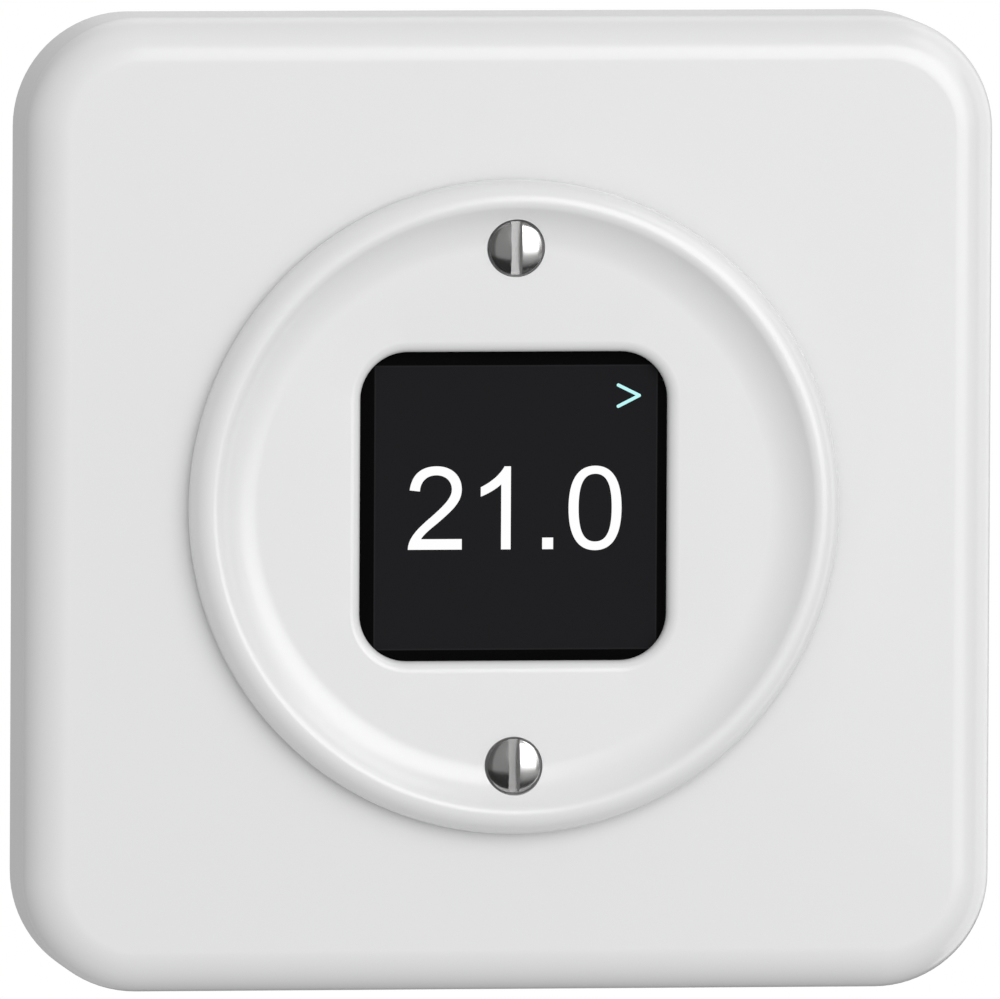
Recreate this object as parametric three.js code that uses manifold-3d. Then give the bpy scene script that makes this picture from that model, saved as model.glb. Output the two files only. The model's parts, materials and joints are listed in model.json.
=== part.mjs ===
// Flush-mounted wall thermostat: a square cover plate, a round centre disc with a display behind its window,
// and an insert that goes into the wall box, with its boards, relay and screw terminals.
//
// The model is built looking at its face: x to the right, y up, z out of the wall towards the room, and
// z = 0 is the surface of the wall. The last lines turn it so that +Z is up and the face looks along -Y.
// All sizes are in millimetres.

import * as THREE from "three";
import { mergeVertices } from "three/addons/utils/BufferGeometryUtils.js";
import Module from "manifold-3d";

const wasm = await Module();
wasm.setup();

// ---- Driving dimensions ----------------------------------------------------------------------------------

// Cover plate
const plateWidth = 86;
const plateCorner = 10.1;
const plateDepth = 12.5;
const plateEdge = 3.8;
const plateWall = 2.2;
const plateInnerEdge = 1.7;
const ribLength = 5;
const ribThickness = 1.2;
const ribDepth = 5;
const ribOffset = 20;

// Centre disc
const discWidth = 58;
const discOverlap = 2.4;
const discEdgeHeight = 0.4;
const discWall = 2.6;
const rimWidth = 1.85;
const rimHeight = 3.2;
const rimSlope = THREE.MathUtils.degToRad(47);
const rimCrestRadius = 1.0;
const dishHeight = 1.3;
const skirtClearance = 0.3;
const discSeatGap = 0.15;

// Window in the disc
const windowWidth = 27.3;
const windowCorner = 4.2;
const windowEdge = 0.8;
const windowLip = 1.2;

// Display stack, from the front to the back
const tapeThickness = 0.2;
const tapeMargin = 0.4;
const glassBorder = 1.5;
const glassCorner = 1.5;
const glassThickness = 0.8;
const glassClearance = 0.2;
const filmThickness = 0.3;
const filmMargin = 0.7;
const panelThickness = 1.3;
const trayWall = 0.8;
const trayFloor = 2.6;
const panelClearance = 0.1;
const flexWidth = 12;
const flexThickness = 0.15;
const flexBend = 1.4;
const flexReach = 0.95;
const flexRoom = 1.7;
const connectorWidth = 13.4;
const connectorLength = 4;
const connectorHeight = 1.05;
const connectorOffset = -6;

// Cover screws and the thread inserts that they turn in
const screwSpacing = 45.7;
const screwHeadWidth = 5.12;
const screwHeadDome = 0.75;
const screwHeadCone = 1.05;
const screwSlotWidth = 0.98;
const screwSlotDepth = 0.95;
const screwShankWidth = 2.9;
const screwHoleWidth = 3.4;
const screwHeadClearance = 0.14;
const screwTipGap = 0.2;
const threadClearance = 0.05;
const insertWall = 0.6;
const insertLength = 3.3;
const bossWall = 1.3;

// Mounting strap
const strapThickness = 1.2;
const strapEdge = 3.4;
const strapCorner = 4;
const boxScrewOffset = 5;
const boxSlotWidth = 4.2;
const boxSlotLength = 8;
const cornerHoleWidth = 4.2;
const cornerHoleInset = 5;
const strapClearance = 0.3;

// Carrier, the front part of the insert
const carrierWall = 1.8;
const carrierFront = 1.8;
const carrierClearance = 0.2;
const trayClearance = 0.5;
const flexSlotDepth = 2.8;
const boardBossHeight = 0.8;
const lugLength = 6;
const lugWidth = 6;
const lugThickness = 2;
const lugOffset = 13;
const stakeWidth = 2.8;
const stakeClearance = 0.2;
const sensorHoleWidth = 3;
const sensorX = -11;
const sensorY = -20.8;
const sensorBeadWidth = 2;
const sensorLeadWidth = 0.6;

// Insert body, the housing that goes into the wall box
const bodyWidth = 50;
const bodyCorner = 6;
const bodyWall = 2;
const bodyDepth = 28;
const columnInset = 4.5;
const columnWidth = 5.6;
const shoulderWidth = 8.8;
const housingScrewShank = 2.4;
const housingScrewHole = 2.8;
const housingScrewHead = 4.4;
const housingScrewHeadHeight = 1.7;
const housingScrewSink = 2;
const housingScrewThread = 2.2;
const housingSlotWidth = 0.7;
const housingSlotDepth = 0.8;

// Circuit boards and what stands on them
const controlBoardThickness = 1.2;
const powerBoardThickness = 1.6;
const boardSpacing = 7.6;
const boardClearance = 0.3;
const processorWidth = 7;
const processorHeight = 1.2;
const pinCount = 6;
const pinPitch = 2.54;
const pinWidth = 0.64;
const pinClearance = 0.14;
const headerDepth = 4.8;
const headerHeight = 2.4;
const pinEngagement = 3.4;
const headerY = 12;
const headerX = -4;

// Terminals
const terminalCount = 5;
const terminalPartition = 0.9;
const terminalEndWall = 1.2;
const blockHeight = 8;
const blockClearance = 0.2;
const blockSideGap = 0.7;
const cageDepth = 4.8;
const cageWall = 0.7;
const cageClearance = 0.3;
const jawThickness = 1;
const collarThickness = 2;
const wireGap = 3;
const clampTravel = 2.6;
const barThickness = 1;
const barClearance = 0.3;
const barReach = 1.1;
const ledgeThickness = 0.8;
const terminalScrewShank = 2.5;
const terminalScrewHead = 4.4;
const terminalHeadHeight = 2;
const terminalHeadSink = 0.8;
const terminalHeadClearance = 0.15;
const terminalSlotWidth = 0.8;
const terminalSlotDepth = 1;

// Relay: along its length, across it and up from the board
const relayLength = 19;
const relayWidth = 15.2;
const relayHeight = 17.6;
const relaySideGap = 1.8;
const relayY = -9.5;
const relayCoverWall = 0.6;
const relayBaseHeight = 2;
const yokeThickness = 1;
const yokeWidth = 7;
const yokeInset = 1.9;
const coilWidth = 8.6;
const coilWinding = 7.4;
const coilHeight = 8.9;
const coilFlange = 0.7;
const coreWidth = 3;
const poleWidth = 5;
const poleHeight = 0.55;
const poleGap = 0.6;
const yokeToCoil = 0.5;
const armatureThickness = 0.8;
const armatureWidth = 6.6;
const armatureHeel = 0.4;
const bladeThickness = 0.25;
const bladeWidth = 2.4;
const bladeOverlap = 4.8;
const contactWidth = 2.2;
const contactInset = 3.1;
const contactThickness = 1.8;
const contactButton = 0.6;
const contactTravel = 0.9;
const contactStrip = 0.3;
const contactArm = 1.3;
const stripStep = 0.6;

// Other parts on the power board
const transformerX = 10.3;
const transformerY = 3.6;
const transformerLength = 14;
const transformerHeight = 11.6;
const coreLeg = 1.8;
const coreCentreLeg = 4.2;
const coreDepth = 5;
const windingClearance = 0.2;
const windingOverhang = 2.7;
const electrolyticWidth = 8;
const electrolyticHeight = 12;
const electrolyticX = 7;
const electrolyticGap = 3.2;
const filmLength = 13;
const filmWidth = 5;
const filmHeight = 11;
const filmSideGap = 1.1;
const filmY = 12.5;
const varistorWidth = 7.2;
const varistorThickness = 3;
const varistorLeadWidth = 0.8;
const varistorLeadSpacing = 3.6;
const varistorSideGap = 6;
const varistorY = -7.4;
const fuseWidth = 8.2;
const fuseHeight = 7.7;
const fuseX = 6.5;
const fuseSideGap = 6.2;

// Gap between pieces that rest on each other, and how far a cut reaches past the face that it opens
const seatGap = 0.1;
const cutPast = 1;

// Sides of round pieces
const discSides = 60;
const screwSides = 18;
const smallSides = 12;

// ---- Levels worked out from the sizes --------------------------------------------------------------------

const plateInnerWidth = plateWidth - 2 * plateWall;
const dishFront = plateDepth + dishHeight;
const discRear = dishFront - discWall;
const windowRear = dishFront - windowLip;
const glassFront = windowRear - tapeThickness - seatGap;
const glassRear = glassFront - glassThickness;
const filmRear = glassRear - seatGap - filmThickness;
const panelFront = filmRear - seatGap;
const panelRear = panelFront - panelThickness;
const trayRear = panelRear - seatGap - trayFloor;
const controlBoardFront = trayRear - flexRoom;
const controlBoardRear = controlBoardFront - controlBoardThickness;
const carrierTop = controlBoardFront + seatGap + boardBossHeight + carrierFront;
const carrierCeiling = carrierTop - carrierFront;
const powerBoardFront = controlBoardRear - boardSpacing;
const powerBoardRear = powerBoardFront - powerBoardThickness;
const bodyFront = controlBoardRear - seatGap;
const bodyRear = -bodyDepth;

const discRadius = discWidth / 2;
const plateHoleRadius = discRadius - discOverlap;
const skirtRadius = plateHoleRadius - skirtClearance;
const screwY = screwSpacing / 2;
const insertBore = screwShankWidth / 2 + threadClearance;
const insertRadius = insertBore + insertWall;
const bossRadius = insertRadius + threadClearance + bossWall;
const glassWidth = windowWidth + 2 * glassBorder;
const carrierInnerWidth = bodyWidth + 2 * carrierClearance;
const carrierWidth = carrierInnerWidth + 2 * carrierWall;
const columnXY = bodyWidth / 2 - columnInset;
const boxScrewSpacing = bodyWidth + 2 * boxScrewOffset;

// The terminal block stands between two columns of the body, and its terminals share its width.
const terminalY = -bodyWidth / 2 + blockHeight / 2;
const blockWidth = 2 * (columnXY - columnWidth / 2 - blockSideGap);
const terminalPitch = (blockWidth - 2 * terminalEndWall + terminalPartition) / terminalCount;
const cageWidth = terminalPitch - terminalPartition - 2 * cageClearance;
const barWidth = cageWidth - 2 * cageWall - 2 * barClearance;

// Places on the power board, from the walls of the body, its columns and the terminal block
const bodyInside = bodyWidth / 2 - bodyWall;
const relayX = relaySideGap - bodyInside;
const varistorX = bodyInside - varistorSideGap;
const fuseY = bodyInside - fuseSideGap;
const filmX = filmSideGap + filmLength / 2 - (columnXY - shoulderWidth / 2);
const electrolyticY = terminalY + blockHeight / 2 + electrolyticGap + electrolyticWidth / 2;

// ---- Solids ----------------------------------------------------------------------------------------------

function solidOf(geometry) {
  const bare = geometry.index ? geometry.toNonIndexed() : geometry.clone();
  bare.deleteAttribute("normal");
  bare.deleteAttribute("uv");
  const merged = mergeVertices(bare, 1e-4);
  const mesh = new wasm.Mesh({
    numProp: 3,
    vertProperties: merged.attributes.position.array,
    triVerts: new Uint32Array(merged.index.array),
  });
  return new wasm.Manifold(mesh);
}

function geometryOf(solid) {
  const mesh = solid.getMesh();
  const geometry = new THREE.BufferGeometry();
  geometry.setAttribute("position", new THREE.BufferAttribute(mesh.vertProperties, 3));
  geometry.setIndex(new THREE.BufferAttribute(mesh.triVerts, 1));
  return geometry;
}

// Cuts and joins lists of geometries: the first one, with the others joined to it, less the cuts.
function carved(joined, cuts) {
  let solid = solidOf(joined[0]);
  for (const geometry of joined.slice(1)) {
    solid = solid.add(solidOf(geometry));
  }
  for (const geometry of cuts) {
    solid = solid.subtract(solidOf(geometry));
  }
  return geometryOf(solid);
}

function roundedRectangle(width, height, corner) {
  const x = width / 2 - corner;
  const y = height / 2 - corner;
  const shape = new THREE.Shape();
  shape.absarc(x, y, corner, 0, Math.PI / 2);
  shape.absarc(-x, y, corner, Math.PI / 2, Math.PI);
  shape.absarc(-x, -y, corner, Math.PI, 1.5 * Math.PI);
  shape.absarc(x, -y, corner, 1.5 * Math.PI, 2 * Math.PI);
  return shape;
}

// A flat outline as a slab between two levels.
function slab(shape, low, high, curveSegments = 3) {
  const settings = { depth: high - low, bevelEnabled: false, curveSegments };
  return new THREE.ExtrudeGeometry(shape, settings).translate(0, 0, low);
}

function squareSlab(width, corner, low, high, curveSegments = 3) {
  return slab(roundedRectangle(width, width, corner), low, high, curveSegments);
}

// A rounded square with a rounded front edge; its back edge is rounded as well, a full depth further back.
function pillow(width, corner, edge, low, high, edgeSteps) {
  const depth = high - low;
  const settings = {
    depth,
    bevelEnabled: true,
    bevelThickness: edge,
    bevelSize: edge,
    bevelOffset: -edge,
    bevelSegments: edgeSteps,
    curveSegments: 6,
  };
  const geometry = new THREE.ExtrudeGeometry(roundedRectangle(width, width, corner), settings);
  return geometry.translate(0, 0, high - edge - depth);
}

// A box given by its lowest and highest corners.
function box(low, high) {
  const size = high.map((value, i) => value - low[i]);
  const centre = high.map((value, i) => (value + low[i]) / 2);
  return new THREE.BoxGeometry(...size).translate(...centre);
}

// A round bar along z.
function bar(width, low, high, x = 0, y = 0, sides = smallSides) {
  const geometry = new THREE.CylinderGeometry(width / 2, width / 2, high - low, sides);
  return geometry.rotateX(Math.PI / 2).translate(x, y, (low + high) / 2);
}

// A profile of [radius, level] points turned round z, from the lowest point on the axis to the highest.
function turned(profile, sides = smallSides) {
  const points = profile.map(([radius, level]) => new THREE.Vector2(radius, level));
  return new THREE.LatheGeometry(points, sides).rotateX(Math.PI / 2);
}

// A flat outline drawn in y and z, as a strip that runs along x and is centred on x = 0.
function strip(shape, width, curveSegments = 6) {
  const settings = { depth: width, bevelEnabled: false, curveSegments };
  const geometry = new THREE.ExtrudeGeometry(shape, settings).translate(0, 0, -width / 2);
  const axes = new THREE.Matrix4().makeBasis(
    new THREE.Vector3(0, 1, 0),
    new THREE.Vector3(0, 0, 1),
    new THREE.Vector3(1, 0, 0),
  );
  return geometry.applyMatrix4(axes);
}

// An outline of straight lines.
function polygon(points) {
  return new THREE.Shape(points.map(([x, y]) => new THREE.Vector2(x, y)));
}

const materials = {
  whitePlastic: { color: 0xe9e9e9, roughness: 0.25, metalness: 0 },
  greyPlastic: { color: 0xc9cbca, roughness: 0.5, metalness: 0 },
  darkPlastic: { color: 0x2b2d30, roughness: 0.5, metalness: 0 },
  blackGlass: { color: 0x060607, roughness: 0.05, metalness: 0 },
  displayGlass: { color: 0x202022, roughness: 0.1, metalness: 0 },
  tape: { color: 0x101010, roughness: 0.8, metalness: 0 },
  flex: { color: 0xb5651d, roughness: 0.4, metalness: 0 },
  nickel: { color: 0xb8b8b6, roughness: 0.15, metalness: 1 },
  steel: { color: 0x9c9fa1, roughness: 0.35, metalness: 1 },
  brass: { color: 0xc9a24b, roughness: 0.3, metalness: 1 },
  board: { color: 0x1f5b34, roughness: 0.5, metalness: 0 },
  copper: { color: 0xb06a38, roughness: 0.35, metalness: 1 },
  ferrite: { color: 0x3a3a3c, roughness: 0.7, metalness: 0 },
  bluePlastic: { color: 0x27588f, roughness: 0.5, metalness: 0 },
  clearPlastic: { color: 0xb9c6cf, roughness: 0.2, metalness: 0 },
};

function piece(group, name, geometry, finish, x = 0, y = 0, z = 0) {
  const mesh = new THREE.Mesh(geometry, new THREE.MeshStandardMaterial(materials[finish]));
  mesh.name = name;
  mesh.position.set(x, y, z);
  group.add(mesh);
  return mesh;
}

// The four corners of a square, as [x, y] pairs.
function corners(offset) {
  return [
    [offset, offset],
    [-offset, offset],
    [-offset, -offset],
    [offset, -offset],
  ];
}

// ---- Cover plate -----------------------------------------------------------------------------------------

function coverPlate() {
  const outside = pillow(plateWidth, plateCorner, plateEdge, 0, plateDepth, 5);
  const innerCorner = plateCorner - plateWall;
  const ceiling = plateDepth - plateWall;
  const inside = pillow(plateInnerWidth, innerCorner, plateInnerEdge, -plateDepth, ceiling, 2);
  const below = box([-plateWidth, -plateWidth, -3 * plateDepth], [plateWidth, plateWidth, 0]);
  const hole = bar(2 * plateHoleRadius, 0, plateDepth + cutPast, 0, 0, discSides);
  const shell = carved([outside], [below, inside, hole]);

  const outer = plateInnerWidth / 2 + plateWall / 4;
  const inner = plateInnerWidth / 2 - ribLength;
  const ribs = [];
  for (const side of [-1, 1]) {
    for (const offset of [-ribOffset, ribOffset]) {
      const edges = [side * inner, side * outer].sort((a, b) => a - b);
      const sides = [offset - ribThickness / 2, offset + ribThickness / 2];
      const low = ceiling - ribDepth;
      const high = ceiling + plateWall / 4;
      ribs.push(box([edges[0], sides[0], low], [edges[1], sides[1], high]));
      ribs.push(box([sides[0], edges[0], low], [sides[1], edges[1], high]));
    }
  }
  return carved([shell, ...ribs], []);
}

// ---- Centre disc -----------------------------------------------------------------------------------------

// The front of the disc from the outside to the dish: a quarter ellipse up to the crest of the rim, a small
// arc over the crest, and a long hollow arc down to the flat of the dish.
function rimProfile() {
  const points = [];
  const edgeLevel = plateDepth + discEdgeHeight;
  const crest = plateDepth + rimHeight;
  const steps = 4;
  for (let i = 0; i <= steps; i += 1) {
    const angle = ((Math.PI / 2) * i) / steps;
    const radius = discRadius - rimWidth * (1 - Math.cos(angle));
    points.push([radius, edgeLevel + (crest - edgeLevel) * Math.sin(angle)]);
  }
  const crestRadius = discRadius - rimWidth;
  for (let i = 1; i <= 2; i += 1) {
    const angle = (rimSlope * i) / 2;
    const radius = crestRadius - rimCrestRadius * Math.sin(angle);
    points.push([radius, crest - rimCrestRadius * (1 - Math.cos(angle))]);
  }
  const [slopeRadius, slopeLevel] = points[points.length - 1];
  const hollow = (slopeLevel - dishFront) / (1 - Math.cos(rimSlope));
  const footRadius = slopeRadius - hollow * Math.sin(rimSlope);
  for (let i = 1; i <= 4; i += 1) {
    const angle = rimSlope * (1 - i / 4);
    const radius = footRadius + hollow * Math.sin(angle);
    points.push([radius, dishFront + hollow * (1 - Math.cos(angle))]);
  }
  return points;
}

function centreDisc() {
  const underside = plateDepth + discSeatGap;
  const body = turned(
    [
      [0, discRear],
      [skirtRadius, discRear],
      [skirtRadius, underside],
      [discRadius - discSeatGap, underside],
      ...rimProfile(),
      [0, dishFront],
    ],
    discSides,
  );
  const headRadius = screwHeadWidth / 2 + screwHeadClearance;
  const holeRadius = screwHoleWidth / 2;
  const sinkTop = dishFront - seatGap;
  const sinkBottom = sinkTop - screwHeadCone - screwHeadClearance;
  const bosses = [];
  const cuts = [];
  for (const y of [-screwY, screwY]) {
    bosses.push(bar(2 * bossRadius, carrierTop + seatGap, discRear + cutPast, 0, y, screwSides));
    const hole = turned(
      [
        [0, carrierTop],
        [holeRadius, carrierTop],
        [holeRadius, sinkBottom],
        [headRadius, sinkTop],
        [headRadius, plateDepth + rimHeight + cutPast],
        [0, plateDepth + rimHeight + cutPast],
      ],
      screwSides,
    );
    cuts.push(hole.translate(0, y, 0));
  }
  const opening = windowShape(0);
  cuts.push(slab(opening, discRear - cutPast, dishFront + cutPast, 5));
  cuts.push(windowFlare());
  const recess = glassWidth + 2 * glassClearance;
  cuts.push(squareSlab(recess, glassCorner + glassClearance, discRear - cutPast, windowRear));
  return carved([body, ...bosses], cuts);
}

function windowShape(growth) {
  const width = windowWidth + 2 * growth;
  return roundedRectangle(width, width, windowCorner + growth);
}

// The eased front edge of the window, as a block that widens towards the room.
function windowFlare() {
  const settings = {
    depth: cutPast,
    bevelEnabled: true,
    bevelThickness: windowEdge,
    bevelSize: windowEdge,
    bevelOffset: -windowEdge,
    bevelSegments: 1,
    curveSegments: 5,
  };
  return new THREE.ExtrudeGeometry(windowShape(windowEdge), settings).translate(0, 0, dishFront);
}

// ---- Display ---------------------------------------------------------------------------------------------

function displayTape() {
  const shape = roundedRectangle(glassWidth, glassWidth, glassCorner);
  shape.holes.push(windowShape(tapeMargin));
  return slab(shape, glassFront + seatGap / 2, windowRear - seatGap / 2);
}

function displayTray() {
  const width = glassWidth;
  const pocket = width - 2 * trayWall;
  const block = squareSlab(width, glassCorner, trayRear, filmRear - seatGap);
  return carved([block], [squareSlab(pocket, trayWall, panelRear - seatGap, dishFront)]);
}

// A ribbon that leaves the lower edge of the tray, bends round behind it and enters the connector.
function displayFlex() {
  const half = flexThickness / 2;
  const start = -glassWidth / 2 - seatGap;
  const bendY = start - flexReach;
  const lowLevel = trayRear - 2 * seatGap - half;
  const highLevel = lowLevel + 2 * flexBend;
  const bendLevel = lowLevel + flexBend;
  const endY = connectorOffset - connectorLength / 2 - seatGap;
  const endLevel = controlBoardFront + connectorHeight / 2;
  const slopeY = bendY + flexBend;
  const shape = new THREE.Shape();
  shape.moveTo(start, highLevel + half);
  shape.absarc(bendY, bendLevel, flexBend + half, Math.PI / 2, 1.5 * Math.PI);
  shape.lineTo(slopeY, lowLevel - half);
  shape.lineTo(endY, endLevel - half);
  shape.lineTo(endY, endLevel + half);
  shape.lineTo(slopeY, lowLevel + half);
  shape.absarc(bendY, bendLevel, flexBend - half, 1.5 * Math.PI, Math.PI / 2, true);
  shape.lineTo(start, highLevel - half);
  return strip(shape, flexWidth);
}

function addDisplay(group) {
  const panelWidth = glassWidth - 2 * trayWall - 2 * panelClearance;
  const filmWidthHere = glassWidth - 2 * filmMargin;
  const connectorLow = controlBoardFront + seatGap / 2;
  const half = connectorLength / 2;
  const connector = box(
    [-connectorWidth / 2, connectorOffset - half, connectorLow],
    [connectorWidth / 2, connectorOffset + half, connectorLow + connectorHeight],
  );
  piece(group, "display_tape", displayTape(), "tape");
  piece(group, "display_glass", squareSlab(glassWidth, glassCorner, glassRear, glassFront), "blackGlass");
  piece(group, "touch_film", squareSlab(filmWidthHere, trayWall, filmRear, glassRear - seatGap), "displayGlass");
  piece(group, "display_panel", squareSlab(panelWidth, trayWall, panelRear, panelFront), "displayGlass");
  piece(group, "display_tray", displayTray(), "darkPlastic");
  piece(group, "display_flex", displayFlex(), "flex");
  piece(group, "flex_connector", connector, "darkPlastic");
}

// ---- Cover screws ----------------------------------------------------------------------------------------

const postRear = bodyFront + seatGap;
const insertRear = carrierTop - seatGap - insertLength;

// A slotted raised-countersunk screw; its levels are those of the assembled thermostat.
function coverScrew() {
  const head = screwHeadWidth / 2;
  const shank = screwShankWidth / 2;
  const rim = dishFront;
  const coneEnd = rim - screwHeadCone;
  const tip = insertRear + screwTipGap;
  const dome = [];
  for (let i = 0; i <= 4; i += 1) {
    const angle = ((Math.PI / 2) * i) / 4;
    dome.push([head * Math.cos(angle), rim + screwHeadDome * Math.sin(angle)]);
  }
  dome[4][0] = 0;
  const profile = [[0, tip], [shank - 0.3, tip], [shank, tip + 0.3], [shank, coneEnd], ...dome];
  const top = rim + screwHeadDome;
  const slot = box(
    [-screwSlotWidth / 2, -head - cutPast, top - screwSlotDepth],
    [screwSlotWidth / 2, head + cutPast, top + cutPast],
  );
  return carved([turned(profile, screwSides)], [slot]);
}

function threadedInsert() {
  const front = carrierTop - seatGap;
  const tube = turned(
    [[0, insertRear], [insertRadius, insertRear], [insertRadius, front], [0, front]],
    screwSides,
  );
  return carved([tube], [bar(2 * insertBore, insertRear - cutPast, front + cutPast, 0, 0, screwSides)]);
}

function addCoverScrews(group) {
  for (const [place, y] of [["top", screwY], ["bottom", -screwY]]) {
    piece(group, `cover_screw_${place}`, coverScrew(), "nickel", 0, y);
    piece(group, `threaded_insert_${place}`, threadedInsert(), "brass", 0, y);
  }
}

// ---- Mounting strap --------------------------------------------------------------------------------------

const strapWidth = boxScrewSpacing + boxSlotWidth + 2 * strapEdge;
const lugX = carrierWidth / 2 + lugLength / 2;

function obround(width, length, x, y) {
  const reach = (length - width) / 2;
  const path = new THREE.Path();
  path.absarc(x, y + reach, width / 2, 0, Math.PI);
  path.absarc(x, y - reach, width / 2, Math.PI, 2 * Math.PI);
  return path;
}

function hole(width, x, y) {
  const path = new THREE.Path();
  path.absarc(x, y, width / 2, 0, 2 * Math.PI);
  return path;
}

function mountingStrap() {
  const shape = roundedRectangle(strapWidth, strapWidth, strapCorner);
  const opening = bodyWidth + 2 * strapClearance;
  shape.holes.push(roundedRectangle(opening, opening, bodyCorner + strapClearance));
  for (const side of [-1, 1]) {
    shape.holes.push(obround(boxSlotWidth, boxSlotLength, (side * boxScrewSpacing) / 2, 0));
    shape.holes.push(hole(boxSlotWidth, 0, (side * boxScrewSpacing) / 2));
  }
  for (const [x, y] of corners(strapWidth / 2 - cornerHoleInset)) {
    shape.holes.push(hole(cornerHoleWidth, x, y));
  }
  for (const x of [-lugX, lugX]) {
    for (const y of [-lugOffset, lugOffset]) {
      shape.holes.push(hole(stakeWidth + 2 * stakeClearance, x, y));
    }
  }
  return slab(shape, 0, strapThickness, 5);
}

// ---- Carrier ---------------------------------------------------------------------------------------------

function insertCarrier() {
  const bottom = strapThickness + seatGap;
  const outerCorner = bodyCorner + carrierClearance + carrierWall;
  const outside = squareSlab(carrierWidth, outerCorner, bottom, carrierTop, 5);
  const innerCorner = bodyCorner + carrierClearance;
  const inside = squareSlab(carrierInnerWidth, innerCorner, bottom - cutPast, carrierCeiling, 5);
  const tub = carved([outside], [inside]);

  const joined = [tub];
  const cuts = [];
  const fixed = carrierCeiling + carrierFront / 2;
  for (const y of [-screwY, screwY]) {
    joined.push(bar(2 * bossRadius, postRear, fixed, 0, y, screwSides));
    const bore = 2 * (insertRadius + threadClearance);
    cuts.push(bar(bore, postRear - cutPast, carrierTop + cutPast, 0, y, screwSides));
  }
  for (const [x, y] of corners(columnXY)) {
    joined.push(bar(columnWidth, controlBoardFront + seatGap, fixed, x, y));
    const pilot = housingScrewShank + 2 * threadClearance;
    const depth = controlBoardFront + housingScrewThread + seatGap;
    cuts.push(bar(pilot, controlBoardFront, depth, x, y));
  }
  for (const side of [-1, 1]) {
    for (const y of [-lugOffset, lugOffset]) {
      const inner = side * (carrierWidth / 2 - carrierWall / 2);
      const outer = side * (carrierWidth / 2 + lugLength);
      const [low, high] = [inner, outer].sort((a, b) => a - b);
      joined.push(box([low, y - lugWidth / 2, bottom], [high, y + lugWidth / 2, bottom + lugThickness]));
      joined.push(bar(stakeWidth, seatGap, bottom + lugThickness / 2, side * lugX, y));
    }
  }
  const trayOpening = glassWidth + 2 * trayClearance;
  cuts.push(squareSlab(trayOpening, glassCorner, carrierCeiling - cutPast, carrierTop + cutPast));
  cuts.push(
    box(
      [-flexWidth / 2 - trayClearance, -trayOpening / 2 - flexSlotDepth, carrierCeiling - cutPast],
      [flexWidth / 2 + trayClearance, 0, carrierTop + cutPast],
    ),
  );
  cuts.push(bar(sensorHoleWidth, carrierCeiling - cutPast, carrierTop + cutPast, sensorX, sensorY));
  return carved(joined, cuts);
}

// ---- Insert body -----------------------------------------------------------------------------------------

function insertBody() {
  const outside = squareSlab(bodyWidth, bodyCorner, bodyRear, bodyFront, 5);
  const innerWidth = bodyWidth - 2 * bodyWall;
  const floor = bodyRear + bodyWall;
  const inside = squareSlab(innerWidth, bodyCorner - bodyWall, floor, bodyFront + cutPast, 5);
  const joined = [carved([outside], [inside])];
  const cuts = [];
  for (const [x, y] of corners(columnXY)) {
    const fixed = floor - bodyWall / 2;
    joined.push(bar(columnWidth, fixed, bodyFront, x, y));
    joined.push(bar(shoulderWidth, fixed, powerBoardRear - seatGap, x, y));
    cuts.push(bar(housingScrewHole, bodyRear - cutPast, bodyFront + cutPast, x, y));
    const sink = housingScrewHead + 2 * carrierClearance;
    cuts.push(bar(sink, bodyRear - cutPast, bodyRear + housingScrewSink, x, y, 16));
  }
  const half = blockWidth / 2 + blockClearance;
  cuts.push(
    box(
      [-half, -bodyWidth / 2 - cutPast, bodyRear - cutPast],
      [half, terminalY + blockHeight / 2 + blockClearance, powerBoardRear],
    ),
  );
  const trimmed = squareSlab(bodyWidth, bodyCorner, bodyRear, bodyFront, 5);
  const whole = carved(joined, cuts);
  return geometryOf(solidOf(whole).intersect(solidOf(trimmed)));
}

function housingScrew() {
  const headTop = bodyRear + housingScrewSink - seatGap;
  const headLow = headTop - housingScrewHeadHeight;
  const tip = controlBoardFront + housingScrewThread;
  const head = housingScrewHead / 2;
  const shank = housingScrewShank / 2;
  const profile = [
    [0, headLow],
    [head - 0.3, headLow],
    [head, headLow + 0.3],
    [head, headTop],
    [shank, headTop],
    [shank, tip - 0.4],
    [0, tip],
  ];
  const slot = box(
    [-head - cutPast, -housingSlotWidth / 2, headLow - cutPast],
    [head + cutPast, housingSlotWidth / 2, headLow + housingSlotDepth],
  );
  return carved([turned(profile)], [slot]);
}

function addHousingScrews(group) {
  corners(columnXY).forEach(([x, y], i) => {
    piece(group, `housing_screw_${i + 1}`, housingScrew(), "steel", x, y);
  });
}

// ---- Boards ----------------------------------------------------------------------------------------------

function controlBoard() {
  const width = bodyWidth - 2 * boardClearance;
  const shape = roundedRectangle(width, width, bodyCorner);
  for (const [x, y] of corners(columnXY)) {
    shape.holes.push(hole(housingScrewHole, x, y));
  }
  const blank = slab(shape, controlBoardRear, controlBoardFront);
  const notches = [-screwY, screwY].map((y) => {
    const width = 2 * (bossRadius + boardClearance);
    return bar(width, controlBoardRear - cutPast, controlBoardFront + cutPast, 0, y, screwSides);
  });
  return carved([blank], notches);
}

function powerBoard() {
  const half = bodyWidth / 2 - bodyWall - boardClearance;
  const notch = columnXY - columnWidth / 2 - boardClearance;
  const outline = polygon([
    [notch, half],
    [-notch, half],
    [-notch, notch],
    [-half, notch],
    [-half, -notch],
    [-notch, -notch],
    [-notch, -half],
    [notch, -half],
    [notch, -notch],
    [half, -notch],
    [half, notch],
    [notch, notch],
  ]);
  return slab(outline, powerBoardRear, powerBoardFront);
}

function pinX(i) {
  return headerX + (i - (pinCount - 1) / 2) * pinPitch;
}

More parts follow.
